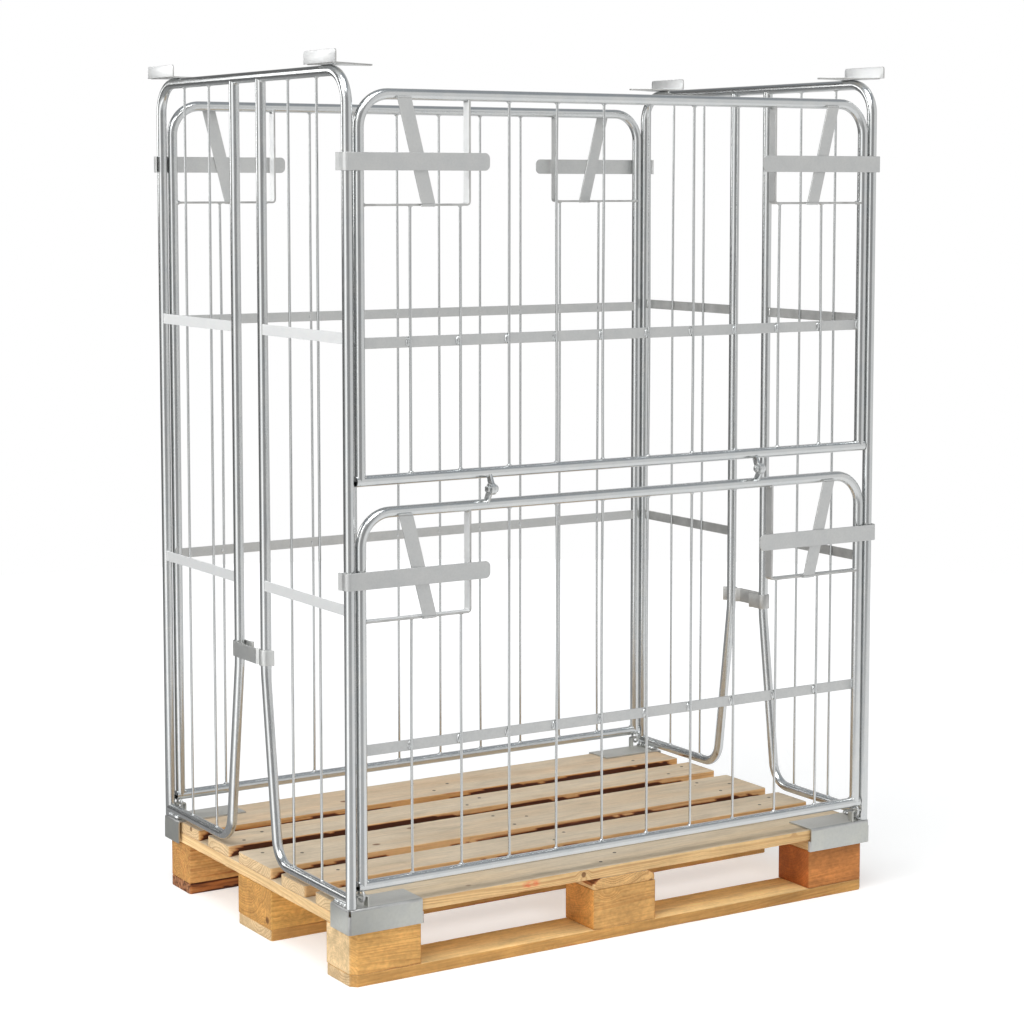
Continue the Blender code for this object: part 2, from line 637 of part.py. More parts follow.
def build_panels():
    """Split front, one-piece rear, their latches and foot hooks."""
    top, lower_top = DECK_Z + PANEL_TOP, DECK_Z + LOWER_TOP
    foot = DECK_Z + PANEL_FOOT
    upper = panel(top, DECK_Z + UPPER_FOOT, [DECK_Z + rise for rise in UPPER_FLATS])
    lower = panel(lower_top, foot, [DECK_Z + rise for rise in LOWER_FLATS])
    rear = panel(top, foot, [DECK_Z + rise for rise in REAR_FLATS])
    add_part("front_upper_panel", mirrored(upper, 1, -1), STEEL, (0, -(POST_Y + HINGE_OUT), HINGE_Z))
    add_part("front_lower_panel", mirrored(lower, 1, -1), STEEL, (0, -POST_Y, STRIP_Z))
    add_part("rear_panel", rear, STEEL, (0, POST_Y, STRIP_Z))
    for level, height, sy in (("upper", top, -1), ("lower", lower_top, -1), ("rear", top, 1)):
        build_latches(level, height, sy)
    hook = panel_hook()
    for sy in (-1, 1):
        for sx in (-1, 1):
            name = f"panel_hook_{end_word(sy)}_{side_word(sx)}"
            add_part(name, mirrored(hook, sx, sy), STEEL, (sx * HOOK_X, sy * POST_Y, STRIP_Z))


def side_clip():
    """Strip wrapped round one inner tube and snapped over the other, drawn for +X."""
    loop = TUBE_R + PLAY + CLIP_T / 2
    reach = 2 * INNER_TUBE_Y
    path = [Vector((CLIP_FREE + CLIP_FLARE, -loop - CLIP_FLARE / 2)), Vector((CLIP_FREE, -loop))]
    for i in range(CLIP_STEPS + 1):
        turn = math.pi * i / CLIP_STEPS
        path.append(Vector((-loop * math.sin(turn), -loop * math.cos(turn))))
    path.append(Vector((reach - loop - 3 * CLIP_T, loop - CLIP_T / 2)))
    path.append(Vector((reach - loop - CLIP_T, CLIP_VALLEY)))
    for i in range(CLIP_STEPS + 1):
        turn = math.pi * CLIP_GRIP * (1 - i / CLIP_STEPS)
        path.append(Vector((reach + loop * math.cos(turn), loop * math.sin(turn))))
    path.append(Vector((reach + loop + CLIP_FLARE, -CLIP_FLARE)))
    plan = [Vector((POST_X + p.y, p.x - INNER_TUBE_Y)) for p in path]
    z = DECK_Z + CLIP_RISE
    return strip(plan, CLIP_T, "Z", z - CLIP_H / 2, z + CLIP_H / 2)


def build_clips():
    clip = side_clip()
    z = DECK_Z + CLIP_RISE
    add_part("side_clip_right", clip, STEEL, (POST_X, -INNER_TUBE_Y, z))
    turned = moved(clip.copy(), Matrix.Rotation(math.pi, 4, "Z"))
    add_part("side_clip_left", turned, STEEL, (-POST_X, INNER_TUBE_Y, z))


clear_scene()
MODEL = bpy.data.collections.new("wooden_pallet_collar")
bpy.context.scene.collection.children.link(MODEL)
WOOD = make_material("wood", PINE, 0.0, 0.7)
STEEL = make_material("steel", ZINC, 1.0, 0.35)
pallet_boards()
pallet_blocks()
build_shoes()
build_side_frames()
build_guides()
build_panels()
build_fold_hinges()
build_clips()
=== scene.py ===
"""The looks of a wooden pallet with a lift-off mesh collar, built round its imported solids."""
import json
import math
import random

import bmesh
import bpy
from mathutils import Matrix, Vector, noise


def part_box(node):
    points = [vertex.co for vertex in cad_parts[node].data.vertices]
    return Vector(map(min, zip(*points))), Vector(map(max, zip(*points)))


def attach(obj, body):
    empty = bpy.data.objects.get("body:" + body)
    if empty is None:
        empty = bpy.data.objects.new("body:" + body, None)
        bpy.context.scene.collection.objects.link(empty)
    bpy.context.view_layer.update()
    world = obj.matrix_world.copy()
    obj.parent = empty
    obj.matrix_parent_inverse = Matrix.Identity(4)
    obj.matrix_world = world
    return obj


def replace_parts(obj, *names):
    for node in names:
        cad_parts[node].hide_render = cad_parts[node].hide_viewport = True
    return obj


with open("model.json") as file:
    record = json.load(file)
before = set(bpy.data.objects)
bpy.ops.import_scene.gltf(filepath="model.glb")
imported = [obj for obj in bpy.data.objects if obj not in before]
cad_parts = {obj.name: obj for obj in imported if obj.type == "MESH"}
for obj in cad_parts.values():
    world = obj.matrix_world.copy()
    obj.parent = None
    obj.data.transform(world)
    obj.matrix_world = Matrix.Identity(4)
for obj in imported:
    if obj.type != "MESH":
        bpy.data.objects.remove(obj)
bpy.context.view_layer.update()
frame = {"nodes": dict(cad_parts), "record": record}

# Camera. The photograph was taken with a rising front, and part of that rise is kept as shift.
CAMERA_PLACE = (-2.6496, -4.2240, 1.4475)
CAMERA_YAW = -32.02          # degrees about Z, from looking along +Y
CAMERA_PITCH = -5.31         # degrees from the horizon
CAMERA_LENS = 86.2           # millimetres
CAMERA_FILM = 36.0           # millimetres
CAMERA_RISE = -0.095         # shift in frame widths
camera = bpy.data.objects.new("camera", bpy.data.cameras.new("camera"))
bpy.context.scene.collection.objects.link(camera)
bpy.context.scene.camera = camera
camera.location = CAMERA_PLACE
camera.rotation_euler = (math.radians(90 + CAMERA_PITCH), 0, math.radians(CAMERA_YAW))
camera.data.lens = CAMERA_LENS
camera.data.sensor_width = CAMERA_FILM
camera.data.shift_y = CAMERA_RISE
camera.data.clip_end = 200


def srgb(code):
    """A six-digit sRGB hex colour as linear red, green, blue and alpha."""
    parts = [int(code[i:i + 2], 16) / 255 for i in (0, 2, 4)]
    return (*(c / 12.92 if c <= 0.04045 else ((c + 0.055) / 1.055) ** 2.4 for c in parts), 1.0)


def add_node(tree, kind, inputs=None, **settings):
    """Add a shader node with its attributes; inputs hold values, or sockets or nodes to join to it."""
    node = tree.nodes.new(kind)
    for key, value in settings.items():
        setattr(node, key, value)
    for key, value in (inputs or {}).items():
        if isinstance(value, bpy.types.Node):
            value = value.outputs[0]
        if isinstance(value, bpy.types.NodeSocket):
            tree.links.new(value, node.inputs[key])
        else:
            node.inputs[key].default_value = value
    return node


# Floor. A round pale sheet under the part, plain and matt. It glows a little, as an evenly lit studio table
# does, so that its shadows stay light.
FLOOR_REACH = 4.5
FLOOR_GLOW = 0.48
FLOOR_RIM_GLOW = 0.75        # far out, where the lamps fall off
GLOW_FROM, GLOW_TO = 1.0, 3.5                      # metres from the middle over which the glow rises
floor_bm = bmesh.new()
bmesh.ops.create_circle(floor_bm, cap_ends=True, segments=96, radius=FLOOR_REACH)
floor_mesh = bpy.data.meshes.new("floor")
floor_bm.to_mesh(floor_mesh)
floor_bm.free()
floor = bpy.data.objects.new("floor", floor_mesh)
bpy.context.scene.collection.objects.link(floor)
floor_paint = bpy.data.materials.new("pale_floor")
floor_paint.use_nodes = True
floor_tree = floor_paint.node_tree
floor_shader = floor_tree.nodes["Principled BSDF"]
floor_shader.inputs["Roughness"].default_value = 0.9
floor_shader.inputs["Specular IOR Level"].default_value = 0.1
floor_shader.inputs["Emission Color"].default_value = srgb("FFFFFF")
outward = add_node(floor_tree, "ShaderNodeTexCoord").outputs["Object"]
outward = add_node(floor_tree, "ShaderNodeVectorMath", {0: outward}, operation="LENGTH")
glow = add_node(floor_tree, "ShaderNodeMapRange", {"Value": outward.outputs["Value"], "From Min": GLOW_FROM,
                "From Max": GLOW_TO, "To Min": FLOOR_GLOW, "To Max": FLOOR_RIM_GLOW})
floor_mesh.materials.append(floor_paint)

# Light. Studio walls of differing brightness: a big soft light on the left, a paler one on the right, dark
# drapes between and behind, and a dim ceiling with a soft box. The metal mirrors them as bright and dark
# bands. The camera itself sees plain white beyond the floor.
# The walls' bearings, in degrees about Z from +X, each with its strength.
WALL_LIGHTS = ((5, 0.68), (60, 0.66), (74, 0.17), (158, 0.17), (184, 1.05), (199, 1.75), (214, 1.25),
               (228, 0.45), (238, 0.36), (278, 0.36), (290, 0.86), (340, 0.86))
WALL_SCALE = 2.0             # strength that the ramp's white stands for
WALL_TOP = (0.50, 0.72)      # sine of the height where the walls begin and end giving way to the ceiling
CEILING_LIGHT = (0.38, 0.405, 0.43)
FLOOR_SPILL = 1.0            # the walls' share that lies on the floor
SPILL_FROM = (-0.6, -0.1, 0)                       # the point that the walls' light spreads round
FLOOR_PALE, FLOOR_DIM = "CFCFCE", "747474"         # the floor as the eye and as the metal sees it
world = bpy.data.worlds.new("studio")
bpy.context.scene.world = world
world.use_nodes = True
sky = world.node_tree
sky.nodes.clear()
walls = {}
for tree, source, origin in ((sky, "Generated", (0, 0, 0)), (floor_tree, "Object", SPILL_FROM)):
    heading = add_node(tree, "ShaderNodeTexCoord").outputs[source]
    heading = add_node(tree, "ShaderNodeVectorMath", {0: heading, 1: origin}, operation="SUBTRACT")
    heading = add_node(tree, "ShaderNodeSeparateXYZ", {0: heading}).outputs
    bearing = add_node(tree, "ShaderNodeMath", {0: heading["Y"], 1: heading["X"]}, operation="ARCTAN2")
    turned = add_node(tree, "ShaderNodeMath", {0: bearing, 1: 2 * math.pi}, operation="DIVIDE")
    turned = add_node(tree, "ShaderNodeMath", {0: turned}, operation="FRACT")
    walls[source] = add_node(tree, "ShaderNodeValToRGB", {"Fac": turned})
    ramp = walls[source].color_ramp
    for degrees, strength in WALL_LIGHTS:
        ramp.elements.new(degrees / 360).color = (*[strength / WALL_SCALE] * 3, 1)
    for stop in (ramp.elements[0], ramp.elements[-1]):
        stop.color = (*[WALL_LIGHTS[-1][1] / WALL_SCALE] * 3, 1)

# What the metal mirrors of the floor is painted light: glossy rays see a dimmer grey that glows with a copy
# of the walls' light, so a tube keeps its bands down to its foot.
mirrored = add_node(floor_tree, "ShaderNodeLightPath").outputs["Is Glossy Ray"]
spilled = add_node(floor_tree, "ShaderNodeMath", {0: walls["Object"], 1: WALL_SCALE * FLOOR_SPILL},
                   operation="MULTIPLY")
glow = add_node(floor_tree, "ShaderNodeMix", {0: mirrored, 2: glow, 3: spilled}, data_type="FLOAT")
floor_tree.links.new(glow.outputs[0], floor_shader.inputs["Emission Strength"])
pale = add_node(floor_tree, "ShaderNodeMix", {0: mirrored, 6: srgb(FLOOR_PALE), 7: srgb(FLOOR_DIM)},
                data_type="RGBA")
floor_tree.links.new(pale.outputs[2], floor_shader.inputs["Base Color"])

heading = sky.nodes["Separate XYZ"].outputs
above = add_node(sky, "ShaderNodeMapRange", {"Value": heading["Z"], "From Min": WALL_TOP[0],
                 "From Max": WALL_TOP[1]}, interpolation_type="SMOOTHSTEP")
level = add_node(sky, "ShaderNodeMix", {0: above, 6: walls["Generated"],
                 7: (*(part / WALL_SCALE for part in CEILING_LIGHT), 1)}, data_type="RGBA")
surround = add_node(sky, "ShaderNodeBackground", {"Color": level.outputs[2], "Strength": WALL_SCALE})
plain = add_node(sky, "ShaderNodeBackground", {"Color": srgb("FFFFFF"), "Strength": 1.0})
rays = add_node(sky, "ShaderNodeLightPath")
choice = add_node(sky, "ShaderNodeMixShader", {0: rays.outputs["Is Camera Ray"], 1: surround,
                                               2: plain})
add_node(sky, "ShaderNodeOutputWorld", {"Surface": choice})

# Each soft box's name, place, aim, size and watts.
SOFT_BOXES = (("overhead_soft_box", (-1.4, -1.9, 4.6), (0, 0, 0.6), 2.6, 130),
              ("left_soft_box", (-4.2, -0.6, 3.8), (0, 0, 0.3), 2.0, 75),
              ("rear_left_soft_box", (-2.3, 2.3, 2.0), (-0.5, 0, 1.2), 1.3, 15))
for name, place, aim, size, power in SOFT_BOXES:
    lamp = bpy.data.lights.new(name, "AREA")
    lamp.size = size
    lamp.energy = power
    holder = bpy.data.objects.new(name, lamp)
    holder.location = place
    holder.rotation_euler = (Vector(aim) - Vector(place)).to_track_quat("-Z", "Y").to_euler()
    holder.visible_camera = False
    bpy.context.scene.collection.objects.link(holder)
bpy.context.scene.view_settings.view_transform = "Standard"


# Pallet boards and blocks. Rough-sawn pine straight off the saw: pale and greyed on top, warmer at the
# edges, with year rings, knots, handling dirt and worn arrises. Boards cut from near the bark keep some of
# it along an edge, and on the deck boards that dark wane also serves as painted shade in the gaps.
PINE_END = "E8CEA2"          # end grain
RING_BROWN = "A5682F"        # late wood, on the sides and on end grain
END_RING_BROWN = "8F5A2C"
KNOT_BROWN = "6B3F20"
CUT_BROWN = "A2562A"         # the bare wane under the bark
BARK_AND_GAP_SHADE_BROWN = "421C0E"
DIRT_GREY = "857D6C"
CRAYON_RED = "E0603C"
RING_WIDTH = 0.0048          # metres between year rings
CORNER_CUT = 0.012
BOARD_ROUND = 0.0055         # worn upright corners of the boards
BLOCK_ROUND = 0.0025
ARRIS = 0.0016               # how far the sawn edges are worn
WEAR_STEP = 0.012            # spacing of the cuts that carry the wear
WEAR_LINES = (0.0015, 0.004, 0.008, 0.013, 0.020, 0.027)      # distances of the cuts along a long edge
BARK_FULL = 0.009            # wane depth at which all the wood is the dark brown of bark and painted gap shade
WANE_LEANS = (0.45, 1.4)     # how far a lower and an upper wane cut in for each metre of their height
WANE_FADE = 0.03             # a deck board's wane runs out this far before its ends
KNOT_CELLS = (9.0, 13.0, 13.0)                      # knot sites to a metre, along the grain and across it
EDGE_KNOT_X, EDGE_KNOT_R = -0.096, 0.0055           # the knot in the front board's edge
CRAYON_X = -0.215            # the crayon mark on the same edge
CRAYON_CELLS = (42.0, 60.0, 110.0)                  # one over the crayon mark's half lengths
MARKS_UP = 0.002             # how far both lie above the edge's middle
# For a kind of piece or one piece: the sides' tint, how strongly rings show on its ends, the ends' tint, and
# the top's tint and share: greyed on deck and cross boards, and paler on the skids as painted light.
TINTS = {"deck": "E0B580", "cross": "EAC893", "skid": "C39455", "block": "D6A666",
         "block_front_left": "E2AE66", "block_front_middle": "D2A262", "block_front_right": "C47F44",
         "block_middle_left": "DFAE62", "deck_board_1": "E6C18A", "deck_board_5": "D9A76C"}
END_RINGS = {"block_front_left": 0.12, "block_front_middle": 0.3}
# Block ends under the deck are darker and redder than the front left one's, partly as painted shade; the
# front right one most.
END_TINTS = {"block": "CD9852", "block_front_middle": "ECAA5A", "block_front_right": "B0602D",
             "block_front_left": "E8CEA2", "cross": "E0B070"}
TOP_TINTS = {"deck": "D1C4AE", "cross": "D6C8B0", "skid": "FBDB9E"}
TOP_SHARES = {"deck": 0.85, "cross": 0.8, "skid": 0.95}
# Noise in the wood: cells to a metre along the grain and across it, octaves, which part of it is spread out,
# and over what. The tones darken and lighten the wood by FIGURES' shares for its kind of piece.
PINE_NOISE = {"drift": (1.6, 13, 2, 0.0, 1.0, -0.014, 0.014), "clear": (2.5, 20, 2, 0.35, 0.65, 0.12, 0.55),
              "fibre": (7, 520, 3, 0.3, 0.7, 0.0, 1.0), "fade": (3, 16, 3, 0.3, 0.6, 0.7, 1.0),
              "dirt": (9, 30, 6, 0.56, 0.80, 0.0, 0.5), "torn": (11, 150, 5, 0.25, 0.75, -0.35, 0.35),
              "chalk": (90, 260, 3, 0.4, 0.6, 0.3, 1.0)}
PINE_TONES = {"fibre_tone": (10, 330, 4), "streak_tone": (2, 30, 4), "blotch_tone": (14, 30, 6),
              "speckle_tone": (110, 160, 3)}
TONE_SPREAD = (0.3, 0.7)     # the part of a tone's noise that is spread out
FIGURES = {"deck": (0.13, 0.08, 0.08, 0.05), "cross": (0.15, 0.13, 0.12, 0.05),
           "skid": (0.16, 0.20, 0.18, 0.08), "block": (0.12, 0.08, 0.22, 0.16)}
LIGHTEN = 0.6                # a tone lightens by this much of what it darkens
# Deepest wane of each long edge: lower and upper at the low side, lower and upper at the high side. On deck
# boards 2 to 5 the lower wane's dark colour is also painted shade in the gaps between the boards.
WANES_AND_GAP_SHADE = {"deck_board_2": (0.0135, 0, 0.003, 0), "deck_board_3": (0.0145, 0, 0.005, 0),
         "deck_board_4": (0.0205, 0.001, 0.010, 0), "deck_board_5": (0.0200, 0.001, 0.006, 0),
         "cross_board_middle": (0, 0.024, 0, 0.017), "skid_board_rear": (0.006, 0.008, 0.004, 0.004),
         "skid_board_middle": (0.003, 0.003, 0.002, 0.003)}
SLIGHT_WANE = (0.001, 0, 0.001, 0)
# How much bark stain covers the whole piece or, below zero, is taken off its wane.
BARKY = {"skid_board_rear": 0.58, "block_rear_left": 0.12, "cross_board_middle": -0.4}


def pine(node, middle, grain, seed, crayon_at=None, knot_at_edge=None):
    """Solid pine for one piece; grain is the axis that it runs along, middle the piece's centre."""
    draw = random.Random(seed)
    kind = node.split("_")[0]
    barky = BARKY.get(node, 0.0)
    mat = bpy.data.materials.new(node + "_pine")
    mat.use_nodes = True
    tree = mat.node_tree
    shader = tree.nodes["Principled BSDF"]
    where = add_node(tree, "ShaderNodeTexCoord").outputs["Object"]
    centred = add_node(tree, "ShaderNodeMapping", {"Vector": where, "Location": [-c for c in middle]})
    board = add_node(tree, "ShaderNodeMapping", {"Vector": centred,
                     "Rotation": (0, 0, -math.pi / 2 if grain == "Y" else 0)})
    shift = (seed * 3.7, seed * 1.9, seed * 0.7)
    tones = {name: (*cells, *TONE_SPREAD, 1 - share, 1 + share * LIGHTEN)
             for (name, cells), share in zip(PINE_TONES.items(), FIGURES[kind])}
    field = {}
    for name, (lengthwise, crosswise, octaves, low, high, least, most) in {**PINE_NOISE, **tones}.items():
        at = add_node(tree, "ShaderNodeMapping", {"Vector": board, "Location": shift,
                                                  "Scale": (lengthwise, crosswise, crosswise)})
        cells = add_node(tree, "ShaderNodeTexNoise", {"Vector": at, "Scale": 1.0,
                                                      "Detail": octaves})
        field[name] = add_node(tree, "ShaderNodeMapRange", {"Value": cells.outputs["Fac"], "From Min": low,
                               "From Max": high, "To Min": least, "To Max": most})

    # Knots: small lumps that push the rings aside.
    knot_at = add_node(tree, "ShaderNodeMapping", {"Vector": board, "Scale": KNOT_CELLS,
                       "Location": [draw.uniform(0, 50) for _ in range(3)]})
    knots = add_node(tree, "ShaderNodeTexVoronoi", {"Vector": knot_at, "Scale": 1.0, "Randomness": 0.9})
    knot_size = add_node(tree, "ShaderNodeMapRange", {"Value": knots.outputs["Color"], "From Min": 0.45,
                                                      "From Max": 0.9, "To Max": 0.14})
    inside = add_node(tree, "ShaderNodeMath", {0: knot_size, 1: knots.outputs["Distance"]},
                      operation="SUBTRACT")
    if knot_at_edge:
        off = add_node(tree, "ShaderNodeVectorMath", {0: where, 1: knot_at_edge}, operation="DISTANCE")
        near = add_node(tree, "ShaderNodeMath", {0: off.outputs["Value"], 1: -KNOT_CELLS[1],
                        2: KNOT_CELLS[1] * EDGE_KNOT_R}, operation="MULTIPLY_ADD")
        inside = add_node(tree, "ShaderNodeMath", {0: inside, 1: near}, operation="MAXIMUM")
    knot = add_node(tree, "ShaderNodeMapRange", {"Value": inside, "From Min": -0.012, "From Max": 0.02,
                                                 "To Max": 0.8}, interpolation_type="SMOOTHSTEP")
    swirl = add_node(tree, "ShaderNodeMapRange", {"Value": inside, "From Min": -0.22, "From Max": 0.03,
                                                  "To Max": 0.014}, interpolation_type="SMOOTHERSTEP")

    # Year rings round a pith that lies outside the board, of uneven width and strength.
    log = add_node(tree, "ShaderNodeMapping", {
        "Vector": board, "Rotation": (0, draw.uniform(-0.03, 0.03), draw.uniform(-0.03, 0.03)),
        "Location": (0, draw.uniform(-0.05, 0.05), draw.choice((-1, 1)) * draw.uniform(0.03, 0.09))})
    spot = add_node(tree, "ShaderNodeSeparateXYZ", {0: log}).outputs
    pushed = add_node(tree, "ShaderNodeMath", {0: spot["Y"], 1: swirl}, operation="ADD")
    flat = add_node(tree, "ShaderNodeCombineXYZ", {"Y": pushed, "Z": spot["Z"]})
    radius = add_node(tree, "ShaderNodeVectorMath", {0: flat}, operation="LENGTH").outputs["Value"]
    radius = add_node(tree, "ShaderNodeMath", {0: radius, 1: field["drift"]}, operation="ADD")
    uneven = add_node(tree, "ShaderNodeTexNoise", {"W": radius, "Scale": 70.0, "Detail": 2.0},
                      noise_dimensions="1D")
    count = add_node(tree, "ShaderNodeMath", {0: uneven.outputs["Fac"], 1: 2.5}, operation="MULTIPLY")
    count = add_node(tree, "ShaderNodeMath", {0: radius, 1: 1 / RING_WIDTH, 2: count},
                     operation="MULTIPLY_ADD")
    ring = add_node(tree, "ShaderNodeMath", {0: count}, operation="FRACT")
    late = add_node(tree, "ShaderNodeValToRGB", {"Fac": ring})
    late.color_ramp.elements[0].color = (0, 0, 0, 1)
    late.color_ramp.elements[1].color = (0.15, 0.15, 0.15, 1)
    late.color_ramp.elements.new(0.35).color = (0.12, 0.12, 0.12, 1)
    late.color_ramp.elements.new(0.88).color = (1, 1, 1, 1)
    band = add_node(tree, "ShaderNodeMath", {0: late, 1: field["clear"]}, operation="MULTIPLY")

    tone = draw.uniform(0.97, 1.05)
    for name in tones:
        tone = add_node(tree, "ShaderNodeMath", {0: field[name], 1: tone}, operation="MULTIPLY")

    # How far a face looks up or along the grain, which picks the end grain or the top, greyed on deck and
    # cross boards and paler on the skids as painted light.
    facing = add_node(tree, "ShaderNodeNewGeometry").outputs["Normal"]
    facing = add_node(tree, "ShaderNodeSeparateXYZ", {0: facing}).outputs
    upward = add_node(tree, "ShaderNodeMapRange", {"Value": facing["Z"], "From Min": 0.6, "From Max": 0.95,
                                                   "To Max": TOP_SHARES.get(kind, 0.0)})
    upward = add_node(tree, "ShaderNodeMath", {0: upward, 1: field["fade"]}, operation="MULTIPLY")
    endward = add_node(tree, "ShaderNodeMath", {0: facing[grain]}, operation="ABSOLUTE")
    endward = add_node(tree, "ShaderNodeMapRange", {"Value": endward, "From Min": 0.7, "From Max": 0.95,
                                                    "To Max": 0.8})
    end_band = add_node(tree, "ShaderNodeMapRange", {"Value": endward, "To Max": END_RINGS.get(node, 0.55)})
    end_band = add_node(tree, "ShaderNodeMath", {0: late, 1: end_band},
                        operation="MULTIPLY")
    soiled = add_node(tree, "ShaderNodeMath", {0: field["dirt"], 1: upward}, operation="MULTIPLY")

    # Wane: bare and orange where it starts, then bark, in torn lengthwise patches. On the deck boards the
    # bark brown also stands in as painted shade in the gaps between them.
    wane = add_node(tree, "ShaderNodeAttribute", attribute_name="wane").outputs["Fac"]
    depth = add_node(tree, "ShaderNodeMath", {0: wane, 1: field["torn"]}, operation="ADD")
    depth = add_node(tree, "ShaderNodeMath", {0: depth, 1: barky}, operation="ADD")
    waney = add_node(tree, "ShaderNodeMath", {0: wane, 1: -1.0 if barky else 0.0}, operation="GREATER_THAN")
    bare = add_node(tree, "ShaderNodeMapRange", {"Value": depth, "From Min": 0.10, "From Max": 0.45,
                                                 "To Max": 0.75})
    bare = add_node(tree, "ShaderNodeMath", {0: bare, 1: waney}, operation="MULTIPLY")
    bark_and_gap_shade = add_node(tree, "ShaderNodeMapRange", {"Value": depth, "From Min": 0.50, "From Max": 0.80,
                                                 "To Max": 0.92})

    layers = [(band, RING_BROWN), (upward, TOP_TINTS.get(kind, PINE_END)),
              (endward, END_TINTS.get(node, END_TINTS.get(kind, PINE_END))), (end_band, END_RING_BROWN),
              (knot, KNOT_BROWN), (soiled, DIRT_GREY), (bare, CUT_BROWN), (bark_and_gap_shade, BARK_AND_GAP_SHADE_BROWN)]
    if crayon_at:
        off = add_node(tree, "ShaderNodeVectorMath", {0: where, 1: crayon_at}, operation="SUBTRACT")
        off = add_node(tree, "ShaderNodeVectorMath", {0: off, 1: CRAYON_CELLS}, operation="MULTIPLY")
        span = add_node(tree, "ShaderNodeVectorMath", {0: off}, operation="LENGTH").outputs["Value"]
        near = add_node(tree, "ShaderNodeMapRange", {"Value": span, "From Min": 0.5, "From Max": 1.0,
                                                     "To Min": 0.7, "To Max": 0.0})
        mark = add_node(tree, "ShaderNodeMath", {0: near, 1: field["chalk"]}, operation="MULTIPLY")
        layers.append((mark, CRAYON_RED))
    colour = srgb(TINTS.get(node, TINTS[kind]))
    for amount, laid_on in layers:
        colour = add_node(tree, "ShaderNodeMix", {0: amount, 6: colour, 7: srgb(laid_on)},
                          data_type="RGBA").outputs[2]
    toned = add_node(tree, "ShaderNodeVectorMath", {0: colour, "Scale": tone}, operation="SCALE")
    tree.links.new(toned.outputs[0], shader.inputs["Base Color"])

    relief = add_node(tree, "ShaderNodeMath", {0: band, 1: 1.4, 2: field["fibre"]}, operation="MULTIPLY_ADD")
    bump = add_node(tree, "ShaderNodeBump", {"Height": relief, "Strength": 0.45, "Distance": 0.0005})
    tree.links.new(bump.outputs[0], shader.inputs["Normal"])
    shader.inputs["Roughness"].default_value = 0.72
    shader.inputs["Specular IOR Level"].default_value = 0.3
    return mat


def show(name, bm, materials, body, angle=35):
    """Make a finished bmesh a shown piece: smooth but for its sharp edges, riding on a body."""
    mesh = bpy.data.meshes.new(name)
    bm.to_mesh(mesh)
    bm.free()
    for mat in materials:
        mesh.materials.append(mat)
    mesh.shade_smooth()
    mesh.set_sharp_from_angle(angle=math.radians(angle))
    piece = bpy.data.objects.new(name, mesh)
    bpy.context.scene.collection.objects.link(piece)
    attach(piece, body)
    return piece


